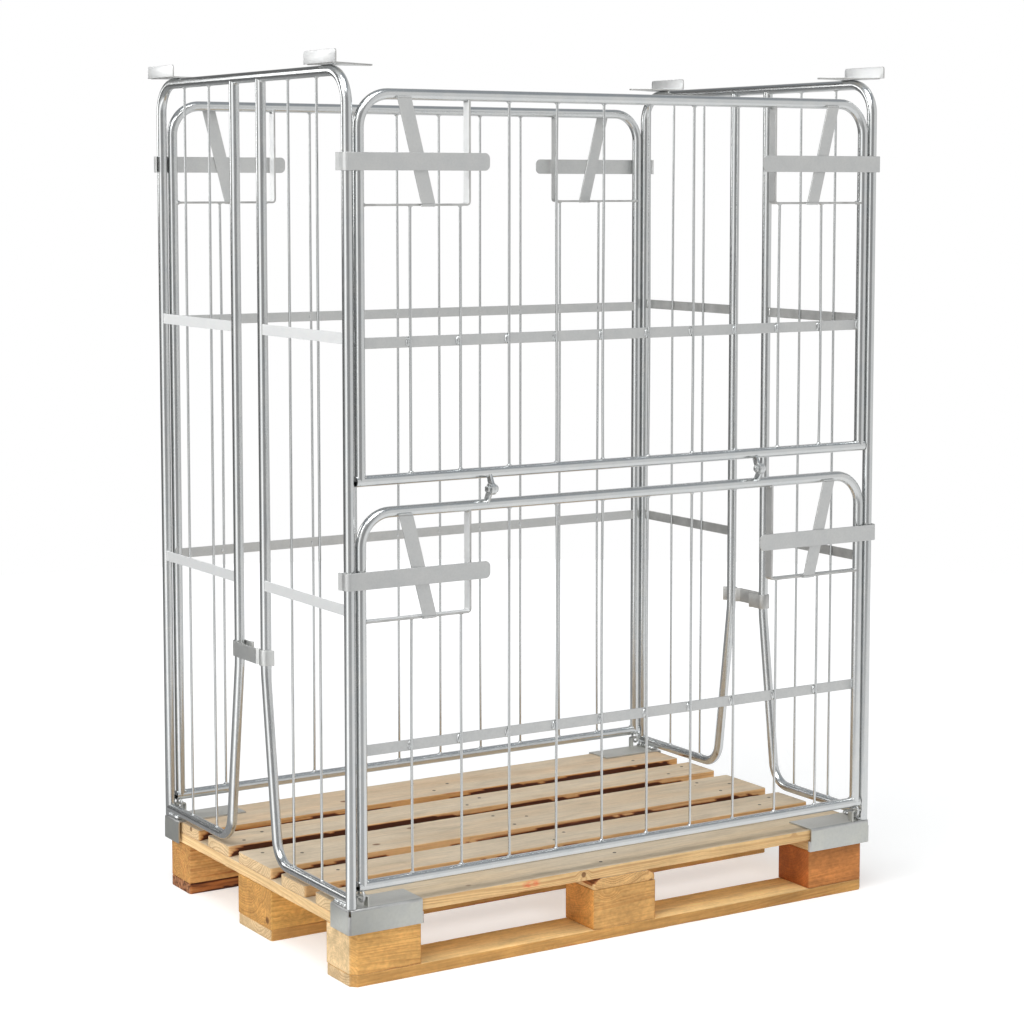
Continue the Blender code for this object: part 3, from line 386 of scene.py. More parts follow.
def sawn_piece(node, grain, seed, cut_corners):
    """One board or block in its node's box, its long edges worn, with wane where it has some."""
    low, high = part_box(node)
    size = high - low
    middle = (low + high) / 2
    along = "XY".index(grain)
    across = 1 - along
    bm = bmesh.new()
    bmesh.ops.create_cube(bm, size=1.0, matrix=Matrix.Translation(middle) @ Matrix.Diagonal((*size, 1)))
    cut, kept = [], []
    for edge in bm.edges:
        ends = [vert.co - middle for vert in edge.verts]
        if abs(ends[0].z - ends[1].z) > size.z / 2:
            sharp = not any(ends[0].x * cx > 0 and ends[0].y * cy > 0 for cx, cy in cut_corners)
            (kept if sharp else cut).append(edge)
    bmesh.ops.bevel(bm, geom=cut, offset=CORNER_CUT, segments=1, profile=0.5, affect="EDGES", material=-1)
    bmesh.ops.bevel(bm, geom=kept, offset=BLOCK_ROUND if node.startswith("block") else BOARD_ROUND,
                    segments=3, profile=0.5, affect="EDGES", material=-1)
    end_from = size[along] / 2 - CORNER_CUT * 1.1
    ends = [edge for edge in bm.edges
            if all(abs(vert.co[along] - middle[along]) > end_from for vert in edge.verts)]
    bmesh.ops.bevel(bm, geom=ends, offset=ARRIS, segments=2, profile=0.5, affect="EDGES", material=-1)
    cuts = [(along, low[along] + size[along] * i / int(size[along] / WEAR_STEP))
            for i in range(1, int(size[along] / WEAR_STEP))]
    for axis, room in ((across, size[across] / 2), (2, size.z / 2)):
        for gap in WEAR_LINES:
            if gap < room:
                cuts += [(axis, low[axis] + gap), (axis, high[axis] - gap)]
    for axis, level in cuts:
        point = middle.copy()
        point[axis] = level
        bmesh.ops.bisect_plane(bm, geom=bm.verts[:] + bm.edges[:] + bm.faces[:], plane_co=point,
                               plane_no=[float(k == axis) for k in range(3)])
    wane_at = bm.verts.layers.float.new("wane")
    wanes = WANES_AND_GAP_SHADE.get(node, SLIGHT_WANE)
    moves = []
    for vert in bm.verts:
        side = vert.co[across] > middle[across]
        inward = size[across] / 2 - abs(vert.co[across] - middle[across])
        reach = vert.co[along] - low[along]
        fray = noise.noise(Vector((reach * 60, seed * 5.7, side + 0.5)))
        for upper, inup in ((False, vert.co.z - low.z), (True, high.z - vert.co.z)):
            swell = noise.noise(Vector((reach * 5.5, seed * 9.1, side + 2 * upper + 0.5)))
            worn = ARRIS * max(0.1, 1 + 0.9 * swell + 0.9 * fray)
            depth = wanes[side * 2 + upper] * min(1.0, max(0.3, 0.78 + 1.1 * swell)) * (1 + 0.25 * fray)
            if node.startswith("deck"):
                depth *= min(1.0, reach / WANE_FADE, (size[along] - reach) / WANE_FADE)
            rise, run = min(max(worn, depth), size.z * 0.82), max(worn, depth * WANE_LEANS[upper])
            if inward / run + inup / rise > 0.999:
                continue
            share = (1 + inward / run - inup / rise) / 2
            round_off = 0.12 * math.sin(math.pi * share)
            moves.append((vert, side, upper, run * max(share - round_off, 0),
                          rise * max(1 - share - round_off, 0), depth))
            break
    for vert, side, upper, sideways, upright, depth in moves:
        vert.co[across] = (high[across] - sideways) if side else (low[across] + sideways)
        vert.co.z = (high.z - upright) if upper else (low.z + upright)
        vert[wane_at] = min(1.0, depth / BARK_FULL)
    marks = [Vector((x, low.y, middle.z + MARKS_UP)) for x in (CRAYON_X, EDGE_KNOT_X)]
    paint = pine(node, middle, grain, seed, *marks if node == "deck_board_1" else ())
    board = show(node + "_sawn", bm, [paint], "pallet", angle=30)
    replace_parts(board, node)


for seed, node in enumerate(frame["record"]["behaviour"]["bodies"]["pallet"], start=1):
    words = node.split("_")
    ends = {"front": (-1,), "rear": (1,)}.get(words[1] if words[0] == "block" else words[2], ())
    sides = {"left": (-1,), "right": (1,)}.get(words[2], ()) if words[0] == "block" else (-1, 1)
    sawn_piece(node, "Y" if words[0] == "cross" else "X", seed, [(cx, cy) for cx in sides for cy in ends])

# Nails. Flat heads of bright steel, driven level with the deck: two where a narrow board crosses a cross
# board, and three where a wide one does.
NAIL_HEAD = 0.0042           # radius
NAIL_TAPER = 0.8             # the head's upper radius, as a share of the lower one
NAIL_DEPTH = 0.0008
NAIL_STRAY = (0.006, 0.004)
WIDE_BOARD = 0.12
# Each nail's distance from the cross board's middle, and its place as a share of the board's width.
NAILS_WIDE = ((-0.030, 0.22), (0.030, 0.50), (-0.030, 0.78))
NAILS_NARROW = ((-0.028, 0.3), (0.028, 0.7))
NAIL_MOTTLE = 500.0          # noise cells to a metre
nails_bm = bmesh.new()
draw = random.Random(7)
for board in (n for n in frame["nodes"] if n.startswith("deck_board")):
    board_low, board_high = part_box(board)
    width = board_high.y - board_low.y
    for cross in (n for n in frame["nodes"] if n.startswith("cross_board")):
        cross_low, cross_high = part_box(cross)
        middle_x = (cross_low.x + cross_high.x) / 2
        for dx, share in NAILS_WIDE if width > WIDE_BOARD else NAILS_NARROW:
            place = (middle_x + dx + draw.uniform(-NAIL_STRAY[0], NAIL_STRAY[0]),
                     board_low.y + width * share + draw.uniform(-NAIL_STRAY[1], NAIL_STRAY[1]), board_high.z)
            bmesh.ops.create_cone(nails_bm, cap_ends=True, segments=14, radius1=NAIL_HEAD,
                                  radius2=NAIL_HEAD * NAIL_TAPER, depth=NAIL_DEPTH,
                                  matrix=Matrix.Translation(place))
nail_steel = bpy.data.materials.new("nail_steel")
nail_steel.use_nodes = True
nail_shader = nail_steel.node_tree.nodes["Principled BSDF"]
nail_spots = add_node(nail_steel.node_tree, "ShaderNodeTexNoise", {"Scale": NAIL_MOTTLE})
nail_tone = add_node(nail_steel.node_tree, "ShaderNodeValToRGB", {"Fac": nail_spots.outputs["Fac"]})
nail_tone.color_ramp.elements[0].color = srgb("3A3029")
nail_tone.color_ramp.elements[1].color = srgb("8A8176")
nail_steel.node_tree.links.new(nail_tone.outputs[0], nail_shader.inputs["Base Color"])
nail_shader.inputs["Metallic"].default_value = 0.8
nail_shader.inputs["Roughness"].default_value = 0.6
show("deck_nails", nails_bm, [nail_steel], "pallet")


# Collar finish. Mild steel with a bright zinc coat: neutral grey with a faint bluish mottle, and fine lines
# the way that the tube, wire or bar was drawn. Weld metal is rougher, folded sheet is duller with its upper
# faces painted paler as painted top light, and the lit bars are pale and less metallic as painted light.
ZINC_GREY, ZINC_COOL = "D6D6D4", "C6CACC"
SHEET_GREY, SHEET_COOL = "D2D2D0", "C4C6C6"
SHOE_GREY, SHOE_COOL = "CCCCC4", "BEC0BE"
SPRING_GREY, SPRING_COOL = "DCDCD8", "CED0D0"
WELD_GREY = "DADAD8"
# A darker grey for the sheared rims, also used as painted shade on whole pieces and faces that lie in shade.
EDGE_AND_SHADE_GREY = "A2A2A0"
PLATE_GREY, PLATE_COOL = "F2F2F0", "E9EBEC"
TOP_LIGHT_GREY = "E0DED8"
DRAWN_ACROSS = 900.0         # noise cells to a metre across the drawn lines
DRAWN_ALONG = 9.0
MOTTLE = 38.0                # cells of the coat's mottle to a metre
GLOSS_SPREAD = 0.07          # how far the lines change the roughness
PAINTED_LIT_METAL = 0.58           # how far the bars painted pale as painted light still mirror as metal


def zinc(name, stretch, rough, grey=ZINC_GREY, cool=ZINC_COOL, lines_depth=0.0002, top_light=0.0, metal=1.0):
    """Bright zinc; stretch scales the drawn lines, smallest along the drawing direction."""
    mat = bpy.data.materials.new(name)
    mat.use_nodes = True
    tree = mat.node_tree
    shader = tree.nodes["Principled BSDF"]
    where = add_node(tree, "ShaderNodeTexCoord").outputs["Object"]
    lined = add_node(tree, "ShaderNodeMapping", {"Vector": where, "Scale": stretch})
    lines = add_node(tree, "ShaderNodeTexNoise", {"Vector": lined, "Scale": 1.0, "Detail": 2.0})
    mottle = add_node(tree, "ShaderNodeTexNoise", {"Vector": where, "Scale": MOTTLE, "Detail": 3.0})
    tint = add_node(tree, "ShaderNodeMix", {0: mottle.outputs["Fac"], 6: srgb(grey), 7: srgb(cool)},
                    data_type="RGBA")
    # Painted top light: faces that look up are mixed towards a paler grey.
    if top_light:
        facing = add_node(tree, "ShaderNodeNewGeometry").outputs["Normal"]
        facing = add_node(tree, "ShaderNodeSeparateXYZ", {0: facing}).outputs
        painted_top_light = add_node(tree, "ShaderNodeMapRange", {"Value": facing["Z"], "From Min": 0.6,
                                                        "From Max": 0.9, "To Max": top_light})
        tint = add_node(tree, "ShaderNodeMix", {0: painted_top_light, 6: tint.outputs[2], 7: srgb(TOP_LIGHT_GREY)},
                        data_type="RGBA")
    tree.links.new(tint.outputs[2], shader.inputs["Base Color"])
    gloss = add_node(tree, "ShaderNodeMapRange", {
        "Value": lines.outputs["Fac"], "From Min": 0.3, "From Max": 0.7, "To Min": rough - GLOSS_SPREAD,
        "To Max": rough + GLOSS_SPREAD})
    tree.links.new(gloss.outputs[0], shader.inputs["Roughness"])
    bump = add_node(tree, "ShaderNodeBump", {"Height": lines.outputs["Fac"], "Strength": 0.08,
                                             "Distance": lines_depth})
    tree.links.new(bump.outputs[0], shader.inputs["Normal"])
    shader.inputs["Metallic"].default_value = metal
    return mat


UPRIGHT, LENGTHWISE, CROSSWISE, SHEET, WELD, SHOE, SPRING, EDGE_AND_SHADE, PLATE, PAINTED_LIT = range(10)
FINISHES = [zinc("zinc_drawn_upright", (DRAWN_ACROSS, DRAWN_ACROSS, DRAWN_ALONG), 0.21),
            zinc("zinc_drawn_lengthwise", (DRAWN_ALONG, DRAWN_ACROSS, DRAWN_ACROSS), 0.21),
            zinc("zinc_drawn_crosswise", (DRAWN_ACROSS, DRAWN_ALONG, DRAWN_ACROSS), 0.21),
            zinc("zinc_rolled_bar", (260, 260, 260), 0.55, SHEET_GREY, SHEET_COOL),
            zinc("zinc_weld_bead", (700, 700, 700), 0.28, WELD_GREY, ZINC_COOL, 0.0008),
            zinc("zinc_folded_sheet", (160, 160, 160), 0.52, SHOE_GREY, SHOE_COOL, top_light=0.8),
            zinc("zinc_spring_strip", (200, 200, 200), 0.50, SPRING_GREY, SPRING_COOL),
            zinc("zinc_sheared_edge_and_shade", (400, 400, 400), 0.50, EDGE_AND_SHADE_GREY, WELD_GREY),
            zinc("zinc_pale_plate", (220, 220, 220), 0.48, PLATE_GREY, PLATE_COOL),
            zinc("zinc_painted_lit_bar", (220, 220, 220), 0.50, PLATE_GREY, PLATE_COOL, metal=PAINTED_LIT_METAL)]

# Side frames. Each is one tube bent into two posts and the top rail, with two inner tubes that splay out at
# their feet into foot rails, wires, and flat bars across them. All is butt welded before plating.
TUBE_R = 0.010
TUBE_SIDES = 28
WIRE_R = 0.0025
WIRE_SIDES = 12
WIRE_STEPS = 10
WIRE_BOW = 0.0016            # how far a wire may bow sideways
FLAT_W = 0.020
FLAT_T = 0.003
BAR_ARRIS = 0.0005
POST_X = 0.5985
POST_Y = 0.396
DECK_Z = 0.144
TOP_RAIL_Z = 1.653
CORNER_R = 0.060
INNER_TUBE_Y = 0.057
SPLAY_TOP = 0.526
SPLAY_FOOT_Y = 0.1043
SPLAY_BEND_R = 0.200
FOOT_BEND_R = 0.050
FOOT_RAIL_Z = 0.162
SIDE_FLAT_ZS = (1.180, 0.692)
POST_GAP = 0.0006            # from the shoe's sheet to the post's foot
FLAT_SINK = 0.0004           # how far a flat bar is pressed into the wires
FLAT_SEAM = FLAT_W * 0.44    # half length of the weld at a flat bar's end
PAD_Z, PAD_W, PAD_T, PAD_END = 0.155, 0.0138, 0.008, 0.050             # weld pad between foot rail and shoe
# Weld beads' half lengths: at the inner tube's top, at a wire's ends, at a flat bar's wires and ends.
INNER_BEAD = (0.0095, 0.0115, 0.003)
WIRE_BEAD = (0.0042, 0.0044, 0.0022)
FLAT_NUB = (0.0022, 0.0022, 0.005)
FLAT_END_BEAD = (0.0022, 0.0026, FLAT_SEAM)
# The weld pad's rows of beads: distance from the frame's plane, half lengths, seed.
PAD_ROWS = ((-0.006, (0.0048, 0.0052, 0.0040), 5), (0.006, (0.0040, 0.0052, 0.0040), 9))
PAD_BEADS, PAD_BEADS_Z, PAD_ROW = 6, 0.1515, 0.036
POST_BEAD = (0.0032, 0.0032, 0.0026)


def round_end(bm, place, heading, radius, sides, finish):
    """Lay down the round end face of a tube or wire, ready to pull along its heading."""
    turn = Vector(heading).to_track_quat("Z", "Y").to_matrix().to_4x4()
    made = bmesh.ops.create_circle(bm, cap_ends=True, segments=sides, radius=radius,
                                   matrix=Matrix.Translation(place) @ turn)
    face = made["verts"][0].link_faces[0]
    face.material_index = finish
    return face


def flat_end(bm, place, heading, across, width, thick, finish):
    """Lay down the end face of a flat bar with eased edges; across points along its width."""
    along, side = Vector(heading).normalized(), Vector(across).normalized()
    turn = Matrix((side * width, along.cross(side) * thick, along)).transposed().to_4x4()
    made = bmesh.ops.create_grid(bm, x_segments=1, y_segments=1, size=0.5,
                                 matrix=Matrix.Translation(place) @ turn)
    eased = bmesh.ops.bevel(bm, geom=made["verts"], offset=BAR_ARRIS, segments=1, profile=0.5,
                            affect="VERTICES", material=-1)
    face = eased["verts"][0].link_faces[0]
    face.material_index = finish
    return face


def grow(bm, face, operator, **how):
    """Extrude or spin a bar's end face and give back the new end, leaving no face inside."""
    inner = any(len(edge.link_faces) > 1 for edge in face.edges)
    made = operator(bm, geom=[face], **how)
    made = made.get("geom_last") or made["geom"]
    if inner and face.is_valid:
        bmesh.ops.delete(bm, geom=[face], context="FACES_ONLY")
    return [item for item in made if isinstance(item, bmesh.types.BMFace)][0]


def pull(bm, face, by):
    face = grow(bm, face, bmesh.ops.extrude_face_region)
    bmesh.ops.translate(bm, vec=by, verts=face.verts)
    return face


def bend_bar(bm, face, corners, bends=(), steps=12):
    """Pull a bar's end face along straight runs, swinging it round each corner with that corner's bend."""
    here, rest = Vector(corners[0]), [Vector(c) for c in corners[1:]]
    for corner, after, bend in zip(rest, rest[1:], bends):
        ahead, onward = (corner - here).normalized(), (after - corner).normalized()
        turn = ahead.angle(onward)
        lead = bend * math.tan(turn / 2)
        if (corner - ahead * lead - here).length > 1e-5:
            face = pull(bm, face, corner - ahead * lead - here)
        axis = ahead.cross(onward).normalized()
        face = grow(bm, face, bmesh.ops.spin, cent=corner - ahead * lead + axis.cross(ahead) * bend,
                    axis=axis, angle=turn, steps=steps)
        here = corner + onward * lead
    return pull(bm, face, rest[-1] - here)


def bore_end(bm, face, wall, depth):
    """Open a tube's end face into a bore."""
    bmesh.ops.inset_individual(bm, faces=[face], thickness=wall)
    inward = -face.normal * depth
    pull(bm, face, inward)


def tube(bm, corners, bends, finish, radius=TUBE_R):
    corners = [Vector(c) for c in corners]
    face = round_end(bm, corners[0], corners[1] - corners[0], radius, TUBE_SIDES, finish)
    return bend_bar(bm, face, corners, bends)


def flat_bar(bm, corners, across, width, thick, bends=(), finish=SHEET):
    corners = [Vector(c) for c in corners]
    face = flat_end(bm, corners[0], corners[1] - corners[0], across, width, thick, finish)
    return bend_bar(bm, face, corners, bends, steps=5)


def weld_bead(bm, place, size, seed):
    """A small uneven lump of weld metal; size is its half lengths."""
    made = bmesh.ops.create_icosphere(bm, subdivisions=2, radius=1.0,
                                      matrix=Matrix.Translation(place) @ Matrix.Diagonal((*size, 1)))
    for vert in made["verts"]:
        vert.co += noise.noise_vector(vert.co * 320 + Vector((seed * 5.3, 0, 0))) * min(size) * 0.35
        for face in vert.link_faces:
            face.material_index = WELD


def wire(bm, foot, top, across, seed):
    """An upright wire with a slight bow; across is the way in which it bows."""
    draw = random.Random(seed)
    lean = Vector(across) * draw.uniform(-WIRE_BOW, WIRE_BOW)
    ripple = Vector(across) * draw.uniform(-WIRE_BOW, WIRE_BOW) / 2
    foot, top = Vector(foot), Vector(top)
    stops = []
    for i in range(WIRE_STEPS + 1):
        share = i / WIRE_STEPS
        stops.append(foot.lerp(top, share) + lean * math.sin(math.pi * share)
                     + ripple * math.sin(2 * math.pi * share))
    face = round_end(bm, stops[0], (0, 0, 1), WIRE_R, WIRE_SIDES, UPRIGHT)
    for before, stop in zip(stops, stops[1:]):
        face = pull(bm, face, stop - before)


def bead_ring(bm, place, size, count, reach, seed):
    """Beads side by side where a bar meets a tube; reach runs from the first to the last."""
    for i in range(count):
        share = i / (count - 1) - 0.5
        weld_bead(bm, Vector(place) + Vector(reach) * share, size, seed + i)


for side in (-1, 1):
    bm = bmesh.new()
    x = side * POST_X
    post_foot = DECK_Z + FLAT_T + POST_GAP
    tube(bm, [(x, -POST_Y, post_foot), (x, -POST_Y, TOP_RAIL_Z), (x, POST_Y, TOP_RAIL_Z),
              (x, POST_Y, post_foot)], (CORNER_R, CORNER_R), UPRIGHT)
    for face in bm.faces:
        if face.calc_center_median().z > TOP_RAIL_Z - TUBE_R * 2:
            face.material_index = CROSSWISE
    for end in (-1, 1):
        tube(bm, [(x, end * INNER_TUBE_Y, TOP_RAIL_Z - TUBE_R / 2), (x, end * INNER_TUBE_Y, SPLAY_TOP),
                  (x, end * SPLAY_FOOT_Y, FOOT_RAIL_Z), (x, end * POST_Y, FOOT_RAIL_Z)],
             (SPLAY_BEND_R, FOOT_BEND_R), UPRIGHT, TUBE_R - 0.0002)
        weld_bead(bm, (x, end * INNER_TUBE_Y, TOP_RAIL_Z - TUBE_R), INNER_BEAD, side + end * 3)
        for share in (1, 2):
            y = end * (INNER_TUBE_Y + (POST_Y - INNER_TUBE_Y) * share / 3)
            wire(bm, (x, y, FOOT_RAIL_Z), (x, y, TOP_RAIL_Z), (0, 1, 0), seed=side * 10 + end * 3 + share)
            for z, up in ((FOOT_RAIL_Z + TUBE_R, 1), (TOP_RAIL_Z - TUBE_R, -1)):
                weld_bead(bm, (x, y, z), WIRE_BEAD, share + up)
            for z in SIDE_FLAT_ZS:
                weld_bead(bm, (x + side * WIRE_R, y + 0.0022, z + 0.002), FLAT_NUB, share * 7 + z)
        flat_x = x + side * (WIRE_R + FLAT_T / 2 - FLAT_SINK)
        for z in SIDE_FLAT_ZS:
            # Painted light and shade: the left frame's flats are pale and less metallic, the right frame's
            # take the darker edge grey.
            flat_bar(bm, [(flat_x, end * INNER_TUBE_Y, z), (flat_x, end * POST_Y, z)], (0, 0, 1), FLAT_W,
                     FLAT_T, finish=PAINTED_LIT if side < 0 else EDGE_AND_SHADE)
            for y, seed in ((INNER_TUBE_Y + TUBE_R * 0.9, 1), (POST_Y - TUBE_R * 0.9, 2)):
                weld_bead(bm, (flat_x - side * 0.001, end * y, z), FLAT_END_BEAD, seed + z)
        weld_y = end * (POST_Y - TUBE_R - 0.020)
        flat_bar(bm, [(x, end * (POST_Y - TUBE_R / 2), PAD_Z), (x, end * (POST_Y - PAD_END), PAD_Z)],
                 (0, 0, 1), PAD_W, PAD_T)
        for off, bead, seed in PAD_ROWS:
            bead_ring(bm, (x + side * off, weld_y, PAD_BEADS_Z), bead, PAD_BEADS, (0, PAD_ROW, 0),
                      end * seed + side)
        bead_ring(bm, (x - side * 0.0085, end * (POST_Y - 0.004), 0.1495), POST_BEAD, 3,
                  (0.004, -end * 0.012, 0), end * 4 + side)
    word = "right" if side > 0 else "left"
    fitted = show("side_frame_" + word + "_welded", bm, FINISHES, "collar", angle=40)
    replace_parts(fitted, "side_frame_" + word)

# Folded and cut pieces. Corner shoes and their brackets, stacking guides and side clips are bent from 3 mm
# sheet or strip; hinge lugs are sawn from bar. Their solids are kept as they are, with the edges broken.
EDGE_BREAK = 0.0004
RIM_WIDTH = 0.0033           # faces narrower than this are the sheared rims of 3 mm sheet
SHOE_FOLD = 0.002            # outer radius of the shoes' folds
FOLD_LENGTH = 0.02           # sharp edges longer than this are folds
MELD = 0.000005              # corners nearer than this are one
CLIP_TALLER = 1.5            # the clips' strip is 30 mm wide, and 20 mm in their solids


def span(face):
    """Roughly how wide a long face is."""
    return face.calc_area() / max(edge.calc_length() for edge in face.edges)


def broken_edges(node, body, finish, width=EDGE_BREAK, angle=38, taller=1.0, rim=True, fold=0.0):
    """The node's own shape, its sharp edges eased, made taller about its middle; its rims look sheared."""
    bm = bmesh.new()
    bm.from_mesh(frame["nodes"][node].data)
    low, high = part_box(node)
    level = (low.z + high.z) / 2
    for vert in bm.verts:
        vert.co.z = level + (vert.co.z - level) * taller
    bmesh.ops.remove_doubles(bm, verts=bm.verts, dist=MELD)
    bmesh.ops.dissolve_limit(bm, angle_limit=math.radians(1.0), verts=bm.verts, edges=bm.edges)
    for offset, steps in ((fold, 4), (width, 2)):
        sharp = [edge for edge in bm.edges if len(edge.link_faces) == 2
                 and edge.calc_face_angle() > math.radians(angle) and edge.calc_length() > offset * 2]
        if offset == fold:
            sharp = [edge for edge in sharp if edge.calc_length() > FOLD_LENGTH and edge.is_convex
                     and all(span(face) > RIM_WIDTH for face in edge.link_faces)]
        bmesh.ops.bevel(bm, geom=sharp, offset=offset, segments=steps, profile=0.5, affect="EDGES",
                        material=-1, clamp_overlap=True)
    for face in bm.faces:
        face.material_index = EDGE_AND_SHADE if rim and span(face) < RIM_WIDTH else finish
    piece = show(node + "_bent", bm, FINISHES, body, angle=35)
    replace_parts(piece, node)
    return piece


for node in frame["nodes"]:
    if node.startswith("corner_shoe"):
        broken_edges(node, "collar", SHOE, fold=SHOE_FOLD)
    elif node.startswith("stack_guide"):
        broken_edges(node, "collar", PLATE)
broken_edges("side_clip_left", "clip_left", SPRING, taller=CLIP_TALLER)
# Painted shade: the right clip takes the darker edge grey all over, the left one the spring strip's grey.
broken_edges("side_clip_right", "clip_right", EDGE_AND_SHADE, taller=CLIP_TALLER)
for word in ("left", "right"):
    broken_edges("fold_lug_upper_" + word, "front_upper", WELD, rim=False)
    broken_edges("fold_lug_lower_" + word, "front_lower", WELD, rim=False)
    broken_edges("fold_bolt_" + word, "front_lower", UPRIGHT, rim=False)

# Panels. A tube hoop closed by a straight bottom rail with open ends, ten wires, flat bars behind them, and
# at each top corner an L-shaped flat bar on edge that carries the foot of a latch strap.
UPRIGHT_X = 0.5755
RAIL_END_X = 0.5855
BORE_WALL = 0.002
BORE_DEPTH = 0.016
WIRE_BAYS = 11
LBAR_X = 0.350
LBAR_DROP = 0.196
LBAR_DEPTH = 0.020
LBAR_T = 0.0042
LBAR_BEND = 0.006
LBAR_Y = 0.3935
STRAP_Y = 0.4078
STRAP_W = 0.0275
STRAP_TOP_X = 0.490
STRAP_FOOT_X = 0.4395
STRAP_PAD_W, STRAP_PAD_T = 0.0070, 0.0034          # weld pads that the strap's ends are fixed to
PAD_TOP_IN, PAD_TOP_DROP = 0.0014, 0.00525         # where the upper pad lies, from the strap's top corner
# Weld beads' half lengths: in the hoop's lower corners, at the wires' ends and flat bars, at the flat bars'
# ends, at the L-shaped bar's two ends and along the strap's foot.
CORNER_BEAD = (0.0026, 0.0040, 0.0026)
PANEL_WIRE_BEAD = (0.0050, 0.0044, 0.0030)
CROSSING_NUB = (0.0043, 0.0026, 0.0086)
PANEL_FLAT_BEAD = (0.0026, 0.0022, FLAT_SEAM)
LBAR_SIDE_BEAD = (0.0032, 0.0090, 0.0042)
LBAR_TOP_BEAD = (0.0046, 0.0095, 0.0034)
STRAP_BEAD = (0.0035, 0.0022, 0.0018)
# Each panel's body, node, side of the part, rails' heights and flat bars' heights.
PANELS = (("front_upper", "front_upper_panel", -1, 0.924, 1.6115, (1.170,)),
          ("front_lower", "front_lower_panel", -1, 0.186, 0.865, (0.433,)),
          ("rear", "rear_panel", 1, 0.186, 1.6115, (1.175, 0.694)))
for body, node, end, foot, top, flats in PANELS:
    bm = bmesh.new()
    y = end * POST_Y
    tube(bm, [(-UPRIGHT_X, y, foot), (-UPRIGHT_X, y, top), (UPRIGHT_X, y, top), (UPRIGHT_X, y, foot)],
         (CORNER_R, CORNER_R), UPRIGHT)
    for face in bm.faces:
        if face.calc_center_median().z > top - TUBE_R * 2:
            face.material_index = LENGTHWISE
    for way in (-1, 1):
        cap = tube(bm, [(0, y, foot), (way * RAIL_END_X, y, foot)], (), LENGTHWISE)
        bm.normal_update()
        bore_end(bm, cap, BORE_WALL, BORE_DEPTH)
        bead_ring(bm, (way * (UPRIGHT_X - TUBE_R * 0.8), y, foot + TUBE_R * 0.8), CORNER_BEAD, 3,
                  (0, 0.012, 0), way)
    for i in range(1, WIRE_BAYS):
        x = UPRIGHT_X * (2 * i / WIRE_BAYS - 1)
        wire_top = top - LBAR_DROP if abs(x) > LBAR_X else top
        wire(bm, (x, y, foot), (x, y, wire_top), (1, 0, 0), seed=i + 20 * end + int(foot * 9))
        bead_top = wire_top - (TUBE_R if wire_top == top else FLAT_T / 2)
        weld_bead(bm, (x, y, foot + TUBE_R), PANEL_WIRE_BEAD, i)
        weld_bead(bm, (x, y, bead_top), PANEL_WIRE_BEAD, i + 40)
        for z in flats:
            weld_bead(bm, (x - 0.0045, min(y, y - end * 0.0048) + 0.0018, z - 0.001), CROSSING_NUB, i + 7)
    flat_y = y - end * (WIRE_R + FLAT_T / 2 - FLAT_SINK)
    for z in flats:
        flat_bar(bm, [(-UPRIGHT_X, flat_y, z), (UPRIGHT_X, flat_y, z)], (0, 0, 1), FLAT_W, FLAT_T)
        for way in (-1, 1):
            weld_bead(bm, (way * (UPRIGHT_X - TUBE_R * 0.9), flat_y + end * 0.001, z), PANEL_FLAT_BEAD,
                      way + 3)
    leg_z = top - LBAR_DROP
    for way in (-1, 1):
        # Painted light and shade: the left L-shaped bar is pale and less metallic, and the narrow faces of
        # both take the darker edge grey.
        before = set(bm.faces)
        flat_bar(bm, [(way * LBAR_X, end * LBAR_Y, top - TUBE_R / 2), (way * LBAR_X, end * LBAR_Y, leg_z),
                      (way * (UPRIGHT_X - TUBE_R / 2), end * LBAR_Y, leg_z)], (0, 1, 0), LBAR_DEPTH, LBAR_T,
                 (LBAR_BEND,), finish=PAINTED_LIT if way < 0 else SHEET)
        for face in set(bm.faces) - before:
            face.normal_update()
            if abs(face.normal.y) > 0.7:
                face.material_index = EDGE_AND_SHADE
        weld_bead(bm, (way * (UPRIGHT_X - TUBE_R), end * LBAR_Y, leg_z), LBAR_SIDE_BEAD, way)
        weld_bead(bm, (way * LBAR_X, end * LBAR_Y, top - TUBE_R), LBAR_TOP_BEAD, way)
        foot_x = way * STRAP_FOOT_X
        weld_y = end * (STRAP_Y - 0.0020)
        for pad_x, z in ((foot_x, leg_z), (way * (STRAP_TOP_X - PAD_TOP_IN), top - PAD_TOP_DROP)):
            flat_bar(bm, [(pad_x - STRAP_W / 2, weld_y, z), (pad_x + STRAP_W / 2, weld_y, z)], (0, 1, 0),
                     STRAP_PAD_W, STRAP_PAD_T)
        bead_ring(bm, (foot_x, end * (STRAP_Y - 0.0022), leg_z - 0.0018), STRAP_BEAD, 6, (0.024, 0, 0), way)
    fitted = show(node + "_welded", bm, FINISHES, body, angle=40)
    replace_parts(fitted, node)

